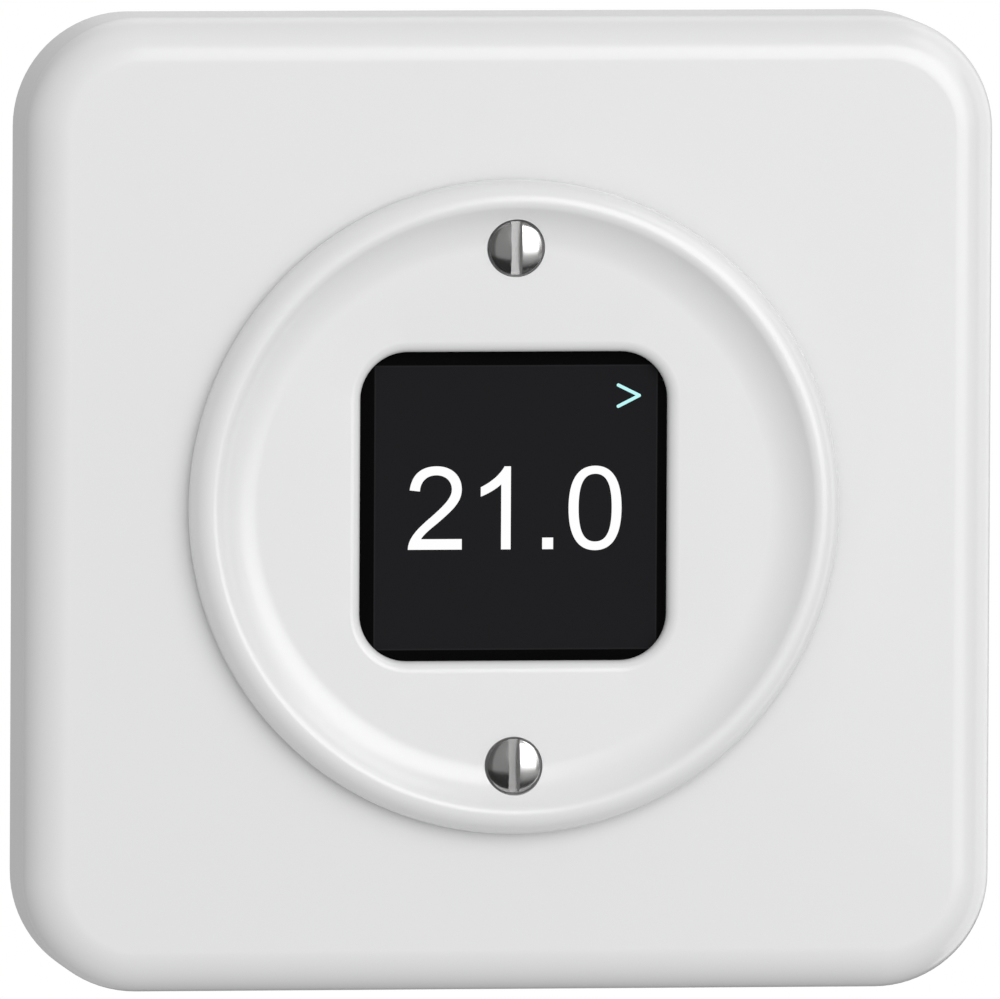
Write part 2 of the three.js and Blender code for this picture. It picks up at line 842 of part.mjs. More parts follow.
function boardHeader() {
  const low = powerBoardFront + seatGap;
  const high = low + headerHeight;
  const half = (pinCount * pinPitch) / 2;
  const base = box(
    [headerX - half, headerY - headerDepth / 2, low],
    [headerX + half, headerY + headerDepth / 2, high],
  );
  const pins = [];
  for (let i = 0; i < pinCount; i += 1) {
    const edge = pinWidth / 2;
    const x = pinX(i);
    pins.push(box([x - edge, headerY - edge, low + 1], [x + edge, headerY + edge, high + pinEngagement]));
  }
  return carved([base, ...pins], []);
}

function boardSocket() {
  const low = powerBoardFront + seatGap + headerHeight + seatGap;
  const high = controlBoardRear - seatGap;
  const half = (pinCount * pinPitch) / 2;
  const body = box(
    [headerX - half, headerY - headerDepth / 2, low],
    [headerX + half, headerY + headerDepth / 2, high],
  );
  const holes = [];
  for (let i = 0; i < pinCount; i += 1) {
    const edge = pinWidth / 2 + pinClearance;
    const x = pinX(i);
    const top = low + pinEngagement + pinClearance;
    holes.push(box([x - edge, headerY - edge, low - cutPast], [x + edge, headerY + edge, top]));
  }
  return carved([body], holes);
}

// A thermistor bead on two leads, which stands up through the hole in the carrier's front.
function roomSensor() {
  const level = carrierTop - sensorBeadWidth / 2;
  const bead = new THREE.SphereGeometry(sensorBeadWidth / 2, 10, 7).translate(0, 0, level);
  const leads = [-1, 1].map((side) => {
    const x = (side * sensorBeadWidth) / 4;
    return bar(sensorLeadWidth, controlBoardFront + seatGap / 2, level, x, 0, 6);
  });
  return carved([bead, ...leads], []);
}

function addBoards(group) {
  const edge = processorWidth / 2;
  const top = controlBoardRear - seatGap / 2;
  const processor = box([-edge, -edge, top - processorHeight], [edge, edge, top]);
  piece(group, "control_board", controlBoard(), "board");
  piece(group, "processor", processor, "darkPlastic", edge + 2, -edge);
  piece(group, "room_sensor", roomSensor(), "copper", sensorX, sensorY);
  piece(group, "board_header", boardHeader(), "darkPlastic");
  piece(group, "board_socket", boardSocket(), "darkPlastic");
  piece(group, "power_board", powerBoard(), "board");
}

// ---- Terminals -------------------------------------------------------------------------------------------

// Levels of one terminal, from the rear face of the block towards the room.
const headLow = bodyRear + terminalHeadSink;
const headHigh = headLow + terminalHeadHeight;
const ledgeLow = headHigh + seatGap;
const chamberLow = ledgeLow + ledgeThickness;
const collarLow = chamberLow + seatGap + clampTravel;
const collarHigh = collarLow + collarThickness;
const barLow = collarHigh + 3 * seatGap;
const barHigh = barLow + barThickness;
const jawLow = barHigh + wireGap;
const jawHigh = jawLow + jawThickness;
const terminalXs = Array.from({ length: terminalCount }, (_, i) => (i - (terminalCount - 1) / 2) * terminalPitch);

function terminalBlock() {
  const half = blockHeight / 2;
  const front = powerBoardRear - seatGap;
  const body = box([-blockWidth / 2, terminalY - half, bodyRear], [blockWidth / 2, terminalY + half, front]);
  const cuts = [];
  const chamber = cageWidth / 2 + cageClearance;
  const depth = cageDepth / 2 + cageClearance;
  const entry = cageWidth / 2 - cageWall;
  const slot = barWidth / 2 + cageClearance / 2;
  for (const x of terminalXs) {
    cuts.push(box([x - chamber, terminalY - depth, chamberLow], [x + chamber, terminalY + depth, front + cutPast]));
    cuts.push(bar(terminalScrewShank + 2 * cageClearance, bodyRear, chamberLow + cutPast, x, terminalY));
    const head = terminalScrewHead + 2 * terminalHeadClearance;
    cuts.push(bar(head, bodyRear - cutPast, ledgeLow, x, terminalY, 16));
    cuts.push(box([x - entry, terminalY - half - cutPast, barHigh], [x + entry, terminalY, jawLow]));
    const gap = seatGap;
    cuts.push(box([x - slot, terminalY, barLow - gap], [x + slot, terminalY + half + cutPast, barHigh + gap]));
  }
  return carved([body], cuts);
}

function terminalScrew() {
  const head = terminalScrewHead / 2;
  const shank = terminalScrewShank / 2;
  const tip = barLow - seatGap / 2;
  const profile = [[0, headLow], [head, headLow], [head, headHigh], [shank, headHigh], [shank, tip], [0, tip]];
  const slot = box(
    [-terminalSlotWidth / 2, -head - cutPast, headLow - cutPast],
    [terminalSlotWidth / 2, head + cutPast, headLow + terminalSlotDepth],
  );
  return carved([turned(profile, 16)], [slot]);
}

// The cage is the screw's nut: a thick threaded collar, two sides and a jaw, round the bar and the wire.
function terminalCage() {
  const half = cageWidth / 2;
  const depth = cageDepth / 2;
  const block = box([-half, -depth, collarLow], [half, depth, jawHigh]);
  const inside = box([-half + cageWall, -depth - cutPast, collarHigh], [half - cageWall, depth + cutPast, jawLow]);
  const bore = bar(terminalScrewShank + 2 * threadClearance, collarLow - cutPast, barLow, 0, 0, 16);
  return carved([block], [inside, bore]);
}

// A bent strip from inside the cage, through the block and down to the power board.
function terminalBar() {
  const near = terminalY - cageDepth / 2;
  const outside = terminalY + blockHeight / 2 + barReach;
  const foot = powerBoardRear - seatGap;
  const outline = polygon([
    [near, barLow],
    [outside, barLow],
    [outside, foot],
    [outside - barThickness, foot],
    [outside - barThickness, barHigh],
    [near, barHigh],
  ]);
  return strip(outline, barWidth);
}

function addTerminals(group) {
  piece(group, "terminal_block", terminalBlock(), "darkPlastic");
  terminalXs.forEach((x, i) => {
    piece(group, `terminal_screw_${i + 1}`, terminalScrew(), "steel", x, terminalY);
    piece(group, `terminal_cage_${i + 1}`, terminalCage(), "steel", x, terminalY);
    piece(group, `terminal_bar_${i + 1}`, terminalBar(), "copper", x);
  });
}

// ---- Relay -----------------------------------------------------------------------------------------------

// Everything on the back of the power board is built in the board's own frame: x to the right as before,
// y down, z away from the board towards the rear, with z = 0 on the board. The relay's box starts at x = y = 0.
const yokeFoot = seatGap + relayBaseHeight + seatGap;
const yokeOuter = relayLength - yokeInset;
const yokeInner = yokeOuter - yokeThickness;
const coilX = yokeInner - yokeToCoil - coilWidth / 2;
const relayMiddle = relayWidth / 2;
const coilLow = yokeFoot + yokeThickness + seatGap;
const coilHigh = coilLow + coilHeight;
const poleLow = coilHigh + seatGap;
const poleTop = poleLow + poleHeight;
const armatureLow = poleTop + poleGap;
const yokeTop = armatureLow - 1.5 * seatGap;
const armatureHigh = armatureLow + armatureThickness;
const bladeLow = armatureHigh + seatGap / 2;
const bladeHigh = bladeLow + bladeThickness;
const contactMiddle = (bladeLow + bladeHigh) / 2;
const contactLow = contactMiddle - contactThickness / 2;
const contactHigh = contactMiddle + contactThickness / 2;
const armatureEnd = contactInset + contactWidth / 2 + 6 * seatGap;

function relayCover() {
  const wall = relayCoverWall;
  const outside = box([0, 0, 2 * seatGap], [relayLength, relayWidth, relayHeight]);
  const inside = box([wall, wall, -cutPast], [relayLength - wall, relayWidth - wall, relayHeight - wall]);
  return carved([outside], [inside]);
}

function relayBase() {
  const edge = relayCoverWall + seatGap;
  const high = seatGap + relayBaseHeight;
  return box([edge, edge, seatGap], [relayLength - edge, relayWidth - edge, high]);
}

function relayYoke() {
  const width = yokeWidth / 2;
  const foot = box(
    [coilX - coilWidth / 2, relayMiddle - width, yokeFoot],
    [yokeOuter, relayMiddle + width, yokeFoot + yokeThickness],
  );
  const upright = box([yokeInner, relayMiddle - width, yokeFoot], [yokeOuter, relayMiddle + width, yokeTop]);
  return carved([foot, upright], []);
}

function relayCore() {
  return turned([
    [0, coilLow - seatGap / 2],
    [coreWidth / 2, coilLow - seatGap / 2],
    [coreWidth / 2, poleLow],
    [poleWidth / 2, poleLow],
    [poleWidth / 2, poleTop],
    [0, poleTop],
  ]);
}

function relayCoil() {
  const spool = turned(
    [
      [0, coilLow],
      [coilWidth / 2, coilLow],
      [coilWidth / 2, coilLow + coilFlange],
      [coilWinding / 2, coilLow + coilFlange],
      [coilWinding / 2, coilHigh - coilFlange],
      [coilWidth / 2, coilHigh - coilFlange],
      [coilWidth / 2, coilHigh],
      [0, coilHigh],
    ],
    16,
  );
  return carved([spool], [bar(coreWidth + 2 * seatGap, coilLow - cutPast, coilHigh + cutPast)]);
}

function relayArmature() {
  const half = armatureWidth / 2;
  return box(
    [armatureEnd, relayMiddle - half, armatureLow],
    [yokeOuter + armatureHeel, relayMiddle + half, armatureHigh],
  );
}

function relayBlade() {
  const half = bladeWidth / 2;
  const end = contactInset - contactWidth / 2;
  const leaf = box(
    [end, relayMiddle - half, bladeLow],
    [armatureEnd + bladeOverlap, relayMiddle + half, bladeHigh],
  );
  return carved([leaf, bar(contactWidth, contactLow, contactHigh, contactInset, relayMiddle)], []);
}

// A fixed contact: an upright strip from the base, an arm and a contact button that faces the moving one.
function fixedContact(stripX, armLow, buttonLow, buttonHigh) {
  const half = bladeWidth / 2;
  const upright = box(
    [stripX, relayMiddle - half, yokeFoot],
    [stripX + contactStrip, relayMiddle + half, armLow + contactStrip],
  );
  const arm = box(
    [stripX, relayMiddle - half, armLow],
    [contactInset + contactArm, relayMiddle + half, armLow + contactStrip],
  );
  const button = bar(contactWidth, buttonLow, buttonHigh, contactInset, relayMiddle);
  return carved([upright, arm, button], []);
}

function relayContactOpen() {
  const buttonHigh = contactLow - contactTravel;
  const buttonLow = buttonHigh - contactButton;
  const stripX = relayCoverWall + 3 * seatGap + stripStep;
  return fixedContact(stripX, buttonLow - contactStrip, buttonLow - contactStrip / 2, buttonHigh);
}

function relayContactClosed() {
  const buttonLow = contactHigh + seatGap / 2;
  const buttonHigh = buttonLow + contactButton;
  const stripX = relayCoverWall + 3 * seatGap;
  return fixedContact(stripX, buttonHigh, buttonLow, buttonHigh + contactStrip / 2);
}

function addRelay(group) {
  piece(group, "relay_base", relayBase(), "darkPlastic");
  piece(group, "relay_cover", relayCover(), "clearPlastic");
  piece(group, "relay_yoke", relayYoke(), "steel");
  piece(group, "relay_core", relayCore(), "steel", coilX, relayMiddle);
  piece(group, "relay_coil", relayCoil(), "copper", coilX, relayMiddle);
  piece(group, "relay_armature", relayArmature(), "steel");
  piece(group, "relay_blade", relayBlade(), "copper");
  piece(group, "relay_contact_open", relayContactOpen(), "brass");
  piece(group, "relay_contact_closed", relayContactClosed(), "brass");
}

// ---- Other parts on the power board ----------------------------------------------------------------------

// The core and the winding share the window's size: the winding fills it less its clearance.
const windowSide = (transformerLength - 2 * coreLeg - coreCentreLeg) / 2;

function transformerCore() {
  const half = transformerLength / 2;
  const low = seatGap;
  const high = low + transformerHeight;
  const block = box([-half, -coreDepth / 2, low], [half, coreDepth / 2, high]);
  const windows = [-1, 1].map((side) => {
    const centre = side * (coreCentreLeg / 2 + windowSide / 2);
    return box(
      [centre - windowSide / 2, -coreDepth, low + coreLeg],
      [centre + windowSide / 2, coreDepth, high - coreLeg],
    );
  });
  return carved([block], windows);
}

function transformerWinding() {
  const inner = coreCentreLeg / 2 + windingClearance;
  const outer = coreCentreLeg / 2 + windowSide - windingClearance;
  const innerY = coreDepth / 2 + windingClearance;
  const outerY = coreDepth / 2 + windingOverhang;
  const low = seatGap + coreLeg + windingClearance;
  const high = seatGap + transformerHeight - coreLeg - windingClearance;
  const block = box([-outer, -outerY, low], [outer, outerY, high]);
  return carved([block], [box([-inner, -innerY, low - cutPast], [inner, innerY, high + cutPast])]);
}

function canister(width, height) {
  const radius = width / 2;
  const crimp = radius - 0.4;
  return turned(
    [
      [0, seatGap],
      [radius - 0.4, seatGap],
      [radius, seatGap + 0.4],
      [radius, seatGap + 1.4],
      [crimp, seatGap + 1.9],
      [radius, seatGap + 2.4],
      [radius, seatGap + height - 0.5],
      [radius - 0.5, seatGap + height],
      [0, seatGap + height],
    ],
    16,
  );
}

function varistor() {
  const centre = seatGap + varistorWidth / 2 + varistorLeadWidth;
  const disc = new THREE.CylinderGeometry(varistorWidth / 2, varistorWidth / 2, varistorThickness, 16);
  const leads = [-1, 1].map((side) => {
    const x = (side * varistorLeadSpacing) / 2;
    return bar(varistorLeadWidth, seatGap, centre, x, 0, 8);
  });
  return carved([disc.translate(0, 0, centre), ...leads], []);
}

function addPowerParts(group) {
  const half = filmLength / 2;
  const edge = filmWidth / 2;
  const film = box([-half, -edge, seatGap], [half, edge, seatGap + filmHeight]);
  piece(group, "transformer_core", transformerCore(), "ferrite", transformerX, -transformerY);
  piece(group, "transformer_winding", transformerWinding(), "copper", transformerX, -transformerY);
  const electrolytic = canister(electrolyticWidth, electrolyticHeight);
  piece(group, "smoothing_capacitor", electrolytic, "darkPlastic", electrolyticX, -electrolyticY);
  piece(group, "film_capacitor", film, "bluePlastic", filmX, -filmY);
  piece(group, "varistor", varistor(), "bluePlastic", varistorX, -varistorY);
  piece(group, "fuse", canister(fuseWidth, fuseHeight), "darkPlastic", fuseX, -fuseY);
}

// ---- Assembly --------------------------------------------------------------------------------------------

function thermostat() {
  const whole = new THREE.Group();
  piece(whole, "cover_plate", coverPlate(), "whitePlastic");
  piece(whole, "centre_disc", centreDisc(), "whitePlastic");
  addDisplay(whole);
  addCoverScrews(whole);
  piece(whole, "mounting_strap", mountingStrap(), "steel");
  piece(whole, "insert_carrier", insertCarrier(), "greyPlastic");
  piece(whole, "insert_body", insertBody(), "greyPlastic");
  addHousingScrews(whole);
  addBoards(whole);
  addTerminals(whole);

  const rearOfBoard = new THREE.Group();
  rearOfBoard.rotation.x = Math.PI;
  rearOfBoard.position.z = powerBoardRear;
  addPowerParts(rearOfBoard);
  whole.add(rearOfBoard);

  const relay = new THREE.Group();
  relay.position.set(relayX, -relayY - relayWidth, 0);
  addRelay(relay);
  rearOfBoard.add(relay);

  whole.rotation.x = Math.PI / 2;
  return whole;
}

export default thermostat();
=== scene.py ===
"""Looks of a flush wall thermostat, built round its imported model.

A square cover plate and a round disc stand in front of a wall box. The disc carries a small square
display and two slotted screws. Behind them are a steel strap, a carrier and the insert body with
its screw terminals.

Shapes are modelled in millimetres as the thermostat is seen from the front: x to the right, y up,
z towards the room, with z = 0 on the wall. The last step of each piece turns it into the part's
frame, in metres, where the front faces along -Y.
"""

import json
import logging
import math
from collections.abc import Sequence
from dataclasses import dataclass
from enum import Enum
from typing import Any, NamedTuple

import bmesh
import bpy
from mathutils import Matrix, Vector

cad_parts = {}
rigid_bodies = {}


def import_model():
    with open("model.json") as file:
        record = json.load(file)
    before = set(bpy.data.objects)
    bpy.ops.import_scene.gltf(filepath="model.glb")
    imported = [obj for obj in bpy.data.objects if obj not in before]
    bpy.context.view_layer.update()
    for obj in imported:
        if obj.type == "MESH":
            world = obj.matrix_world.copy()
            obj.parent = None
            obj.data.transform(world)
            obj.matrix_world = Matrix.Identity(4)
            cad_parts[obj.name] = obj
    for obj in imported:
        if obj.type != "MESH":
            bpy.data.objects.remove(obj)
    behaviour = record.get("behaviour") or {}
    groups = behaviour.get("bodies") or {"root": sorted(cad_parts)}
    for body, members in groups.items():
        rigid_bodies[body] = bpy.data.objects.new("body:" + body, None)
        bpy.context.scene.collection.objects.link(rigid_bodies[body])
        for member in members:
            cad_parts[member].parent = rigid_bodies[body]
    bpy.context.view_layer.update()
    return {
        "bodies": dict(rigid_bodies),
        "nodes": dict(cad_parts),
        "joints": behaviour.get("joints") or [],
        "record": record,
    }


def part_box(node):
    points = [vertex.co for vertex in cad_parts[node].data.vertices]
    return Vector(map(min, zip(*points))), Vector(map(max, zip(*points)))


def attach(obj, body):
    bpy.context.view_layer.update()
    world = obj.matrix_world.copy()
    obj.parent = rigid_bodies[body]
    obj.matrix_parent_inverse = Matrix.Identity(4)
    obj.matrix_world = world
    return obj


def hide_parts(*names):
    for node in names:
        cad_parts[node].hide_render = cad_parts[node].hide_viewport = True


LOG = logging.getLogger("thermostat")
MM = 0.001
# How far solids that cut or join reach past what they meet, in millimetres.
PAST = 1.0
# The share of its width that a corner takes for a full round end.
ROUND_END = 0.499
# The terminals' numbers.
TERMINALS = range(1, 6)
Colour = tuple[float, float, float]
Point = tuple[float, float]


# ---- Shader tools -------------------------------------------------------------------------------


class Value:
    """A number that varies over a surface: a socket on which Python's operators add Math nodes."""

    def __init__(self, shader: "Shader", socket: bpy.types.NodeSocket) -> None:
        """Wraps an output socket of a shader's node tree."""
        self.shader = shader
        self.socket = socket

    def math(self, operation: str, *others: "Value | float") -> "Value":
        """Adds a Math node with this value as its first input.

        Args:
            operation: The node's operation.
            others: Its further inputs.

        Returns:
            The node's result.
        """
        inputs = dict(enumerate((self, *others)))
        made = self.shader.node("ShaderNodeMath", {"operation": operation}, inputs)
        return Value(self.shader, made.outputs[0])

    def __add__(self, other: "Value | float") -> "Value":
        """This value plus another."""
        return self.math("ADD", other)

    def __radd__(self, other: float) -> "Value":
        """A number plus this value."""
        return self.math("ADD", other)

    def __sub__(self, other: "Value | float") -> "Value":
        """This value less another."""
        return self.math("SUBTRACT", other)

    def __rsub__(self, other: float) -> "Value":
        """A number less this value."""
        return self.math("MULTIPLY", -1.0).math("ADD", other)

    def __mul__(self, other: "Value | float") -> "Value":
        """This value times another."""
        return self.math("MULTIPLY", other)

    def __rmul__(self, other: float) -> "Value":
        """A number times this value."""
        return self.math("MULTIPLY", other)

    def __abs__(self) -> "Value":
        """This value without its sign."""
        return self.math("ABSOLUTE")

    def __pow__(self, other: float) -> "Value":
        """This value to a power."""
        return self.math("POWER", other)

    def least(self, other: "Value | float") -> "Value":
        """The smaller of this value and another."""
        return self.math("MINIMUM", other)

    def step(self, low: float, high: float) -> "Value":
        """A smooth step.

        Args:
            low: The value at which it starts, at 0.
            high: The value at which it ends, at 1.

        Returns:
            The step, held at 0 and 1 outside.
        """
        settings = {"interpolation_type": "SMOOTHSTEP", "clamp": True}
        inputs = {"Value": self, "From Min": low, "From Max": high}
        made = self.shader.node("ShaderNodeMapRange", settings, inputs)
        return Value(self.shader, made.outputs[0])


class Shader:
    """The node tree of a material or of the world."""

    def __init__(self, tree: bpy.types.NodeTree) -> None:
        """Takes over a node tree and empties it."""
        self.tree = tree
        self.tree.nodes.clear()

    def node(
        self, kind: str, settings: dict[str, Any] | None = None,
        inputs: dict[str | int, Any] | None = None,
    ) -> bpy.types.Node:
        """Adds a node.

        Args:
            kind: The node's type.
            settings: Its own settings, which are set first.
            inputs: Values or links of its sockets, by name or number.

        Returns:
            The node.
        """
        made = self.tree.nodes.new(kind)
        for key, value in (settings or {}).items():
            setattr(made, key, value)
        for key, value in (inputs or {}).items():
            link = value.socket if isinstance(value, Value) else value
            if isinstance(link, bpy.types.NodeSocket):
                self.tree.links.new(link, made.inputs[key])
            else:
                made.inputs[key].default_value = link
        return made

    def place(
        self, scale: Sequence[float] = (1.0, 1.0, 1.0), turn: Sequence[float] = (0.0, 0.0, 0.0)
    ) -> bpy.types.NodeSocket:
        """Object coordinates, turned and scaled.

        Args:
            scale: Scale along each axis.
            turn: Angles about the axes, in radians.

        Returns:
            The vector socket.
        """
        coordinates = self.node("ShaderNodeTexCoord").outputs["Object"]
        inputs = {"Vector": coordinates, "Scale": tuple(scale), "Rotation": tuple(turn)}
        return self.node("ShaderNodeMapping", inputs=inputs).outputs[0]

    def split(self, vector: bpy.types.NodeSocket) -> tuple[Value, Value, Value]:
        """The three parts of a vector.

        Args:
            vector: The vector socket.

        Returns:
            Its x, y and z.
        """
        made = self.node("ShaderNodeSeparateXYZ", inputs={0: vector})
        x, y, z = (Value(self, socket) for socket in made.outputs)
        return x, y, z

    def noise(
        self, vector: bpy.types.NodeSocket, scale: float, detail: float = 2.0, rough: float = 0.5
    ) -> Value:
        """Soft noise from 0 to 1, in waves a metre, with finer layers and their strength."""
        inputs = {"Vector": vector, "Scale": scale, "Detail": detail, "Roughness": rough}
        return Value(self, self.node("ShaderNodeTexNoise", inputs=inputs).outputs[0])

    def cells(self, vector: bpy.types.NodeSocket, scale: float) -> Value:
        """Distance to the nearest of scattered points, with a scale in cells a metre."""
        inputs = {"Vector": vector, "Scale": scale}
        return Value(self, self.node("ShaderNodeTexVoronoi", inputs=inputs).outputs["Distance"])

    def blend(self, factor: "Value | float", first: Any, second: Any) -> bpy.types.NodeSocket:
        """A mix of two colours.

        Args:
            factor: 0 for the first, 1 for the second.
            first: A colour or a colour socket.
            second: A colour or a colour socket.

        Returns:
            The colour socket.
        """
        colours = [(*c, 1.0) if isinstance(c, tuple) else c for c in (first, second)]
        settings = {"data_type": "RGBA", "clamp_factor": True}
        inputs = {0: factor, 6: colours[0], 7: colours[1]}
        return self.node("ShaderNodeMix", settings, inputs).outputs[2]

    def bump(self, height: Value, depth: float) -> bpy.types.NodeSocket:
        """A bump normal, where a height of 1 is as deep as the given metres."""
        inputs = {"Strength": 1.0, "Distance": depth, "Height": height}
        return self.node("ShaderNodeBump", inputs=inputs).outputs[0]

    def surface(self, **inputs: Any) -> None:
        """Ends the tree with a Principled shader.

        Args:
            inputs: Its sockets by name, with underscores for spaces.
        """
        named = {"IOR": 1.5}
        for key, value in inputs.items():
            colour = isinstance(value, tuple) and len(value) == 3
            named[key.replace("_", " ")] = (*value, 1.0) if colour else value
        self.end(self.node("ShaderNodeBsdfPrincipled", inputs=named).outputs[0])

    def end(self, shader: bpy.types.NodeSocket) -> None:
        """Links a shader to the material's surface."""
        self.node("ShaderNodeOutputMaterial", inputs={"Surface": shader})


# ---- Finishes -----------------------------------------------------------------------------------


def shaded(colour: Colour, factor: float) -> Colour:
    """A colour made darker or lighter by a factor."""
    r, g, b = (min(1.0, part * factor) for part in colour)
    return r, g, b


@dataclass(frozen=True)
class Finish:
    """A finish that pieces can have."""

    name: str

    def material(self) -> bpy.types.Material:
        """The finish's material, which is made once.

        Returns:
            The material.
        """
        name = f"{self.name}_finish"
        made = bpy.data.materials.get(name)
        if made is None:
            made = bpy.data.materials.new(name)
            made.use_nodes = True
            self.build(Shader(made.node_tree))
        return made

    def build(self, shader: Shader) -> None:
        """Builds the material's nodes in an empty node tree."""
        raise NotImplementedError


@dataclass(frozen=True)
class Moulding(Finish):
    """Moulded plastic with a faint flow of tone, an uneven gloss and a fine grain."""

    colour: Colour
    rough: float
    mottle: float
    grain: float
    depth: float
    gloss: float = 0.5
    flow_scale: float = 38.0
    flow_rough: float = 0.05
    grain_rough: float = 0.04
    peel_scale: float = 260.0

    def build(self, shader: Shader) -> None:
        """Builds the plastic.

        Args:
            shader: An empty node tree.
        """
        place = shader.place()
        flow = shader.noise(place, self.flow_scale, detail=3.0)
        fine = shader.noise(place, self.grain, detail=2.0, rough=0.6)
        orange_peel = shader.noise(place, self.peel_scale, detail=1.0)
        dark, light = shaded(self.colour, 1 - self.mottle), shaded(self.colour, 1 + self.mottle)
        least = self.rough - (self.flow_rough + self.grain_rough) / 2
        shader.surface(
            Base_Color=shader.blend(flow, dark, light),
            Roughness=flow * self.flow_rough + fine * self.grain_rough + least,
            Specular_IOR_Level=self.gloss,
            Normal=shader.bump(fine + orange_peel, self.depth),
        )


@dataclass(frozen=True)
class TurnedMetal(Finish):
    """Metal turned on a lathe: fine rings round axes along y, with faint stains."""

    colour: Colour
    rough: float
    axis_height: float
    rings: float
    depth: float
    stain: float
    milled_level: float = 0.0
    milled_rough: float = 0.0
    milled_blur: float = 0.01 * MM
    stain_scale: float = 700.0
    stain_rough: float = 0.05
    scratch_scale: float = 5200.0
    scratch_rough: float = 0.03
    scratch_share: float = 0.3

    def build(self, shader: Shader) -> None:
        """Builds the metal.

        Args:
            shader: An empty node tree.
        """
        place = shader.place()
        x, y, z = shader.split(place)
        along = abs(z) - self.axis_height
        milled = y.step(self.milled_level - self.milled_blur, self.milled_level + self.milled_blur)
        radius = (x * x + along * along) ** 0.5
        rings = (radius * self.rings).math("SINE") * 0.5 + 0.5
        stain = shader.noise(place, self.stain_scale, detail=3.0)
        scratch = shader.noise(place, self.scratch_scale, detail=2.0, rough=0.7)
        worn = stain * self.stain_rough + scratch * self.scratch_rough
        least = self.rough - (self.stain_rough + self.scratch_rough) / 2
        share = self.scratch_share
        shader.surface(
            Base_Color=shader.blend(stain, self.colour, shaded(self.colour, 1 - self.stain)),
            Metallic=1.0,
            Roughness=worn + milled * self.milled_rough + least,
            Normal=shader.bump(rings * (1 - share) + scratch * share, self.depth),
        )


@dataclass(frozen=True)
class SheetMetal(Finish):
    """Rolled or drawn sheet: streaks along one direction, cloudy plating and a few scratches."""

    colour: Colour
    tint: Colour
    rough: float
    stretch: tuple[float, float, float]
    depth: float = 1.2e-6
    streak_scale: float = 420.0
    streak_rough: float = 0.14
    spangle_scale: float = 900.0
    spangle_rough: float = 0.06
    cloud_scale: float = 120.0
    cloud_range: Point = (0.3, 0.75)
    mark_scale: float = 2600.0
    mark_range: Point = (0.66, 0.72)
    mark_stretch: tuple[float, float, float] = (1.0, 1.0, 0.04)
    mark_turn: tuple[float, float, float] = (0.0, 0.6, 0.0)
    mark_shine: float = 0.08

    def build(self, shader: Shader) -> None:
        """Builds the sheet.

        Args:
            shader: An empty node tree.
        """
        place = shader.place()
        along = shader.place(scale=self.stretch)
        streaks = shader.noise(along, self.streak_scale, detail=3.0, rough=0.6)
        cloud = shader.noise(place, self.cloud_scale, detail=4.0, rough=0.6).step(*self.cloud_range)
        spangle = shader.cells(place, self.spangle_scale)
        across = shader.place(scale=self.mark_stretch, turn=self.mark_turn)
        marks = shader.noise(across, self.mark_scale, detail=2.0).step(*self.mark_range)
        rough = streaks * self.streak_rough + spangle * self.spangle_rough
        least = self.rough - (self.streak_rough + self.spangle_rough) / 2
        shader.surface(
            Base_Color=shader.blend(cloud, self.colour, self.tint),
            Metallic=1.0,
            Roughness=rough + least - marks * self.mark_shine,
            Normal=shader.bump(streaks * 0.6 + spangle * 0.3 - marks * 0.3, self.depth),
        )


@dataclass(frozen=True)
class CoverGlass(Finish):
    """Black printed glass with a slightly lighter display area that has sharp edges."""

    print_colour: Colour
    area_colour: Colour
    edge_colour: Colour
    left: float
    right: float
    bottom: float
    top: float
    edge: float
    blur: float = 0.02 * MM
    fade: float = 1.6
    haze_scale: float = 90.0
    haze_depth: float = 1.0e-6
    cell_scale: float = 6000.0
    cell_shade: float = 0.96
    rough: float = 0.05
    haze_rough: float = 0.04
    gloss: float = 0.1

    def build(self, shader: Shader) -> None:
        """Builds the glass.

        Args:
            shader: An empty node tree.
        """
        place = shader.place()
        x, _, z = shader.split(place)
        inside = (x - self.left).least(self.right - x).least(z - self.bottom).least(self.top - z)
        area = inside.step(-self.blur, self.blur)
        line = area * (1.0 - inside.step(self.edge, self.edge * self.fade))
        haze = shader.noise(place, self.haze_scale, detail=3.0)
        speckle = shader.noise(place, self.cell_scale, detail=1.0)
        cells = shader.blend(speckle, shaded(self.area_colour, self.cell_shade), self.area_colour)
        lit = shader.blend(line * (haze * 0.5 + 0.5), cells, self.edge_colour)
        shader.surface(
            Base_Color=shader.blend(area, self.print_colour, lit),
            Roughness=haze * self.haze_rough + self.rough,
            Specular_IOR_Level=self.gloss,
            Normal=shader.bump(haze, self.haze_depth),
        )


@dataclass(frozen=True)
class LitGlyph(Finish):
    """A character of the display, which gives its own light through the display's fine cells."""

    colour: Colour
    strength: float
    cell: float = 0.12 * MM
    cell_shade: float = 0.97
    rough: float = 0.4

    def build(self, shader: Shader) -> None:
        """Builds the light.

        Args:
            shader: An empty node tree.
        """
        x, _, z = shader.split(shader.place())
        wave = 2 * math.pi / self.cell
        cells = ((x * wave).math("COSINE") * (z * wave).math("COSINE")).step(-1.0, 0.2)
        shader.surface(
            Base_Color=(0.0, 0.0, 0.0),
            Roughness=self.rough,
            Specular_IOR_Level=0.0,
            Emission_Color=shader.blend(cells, shaded(self.colour, self.cell_shade), self.colour),
            Emission_Strength=self.strength,
        )


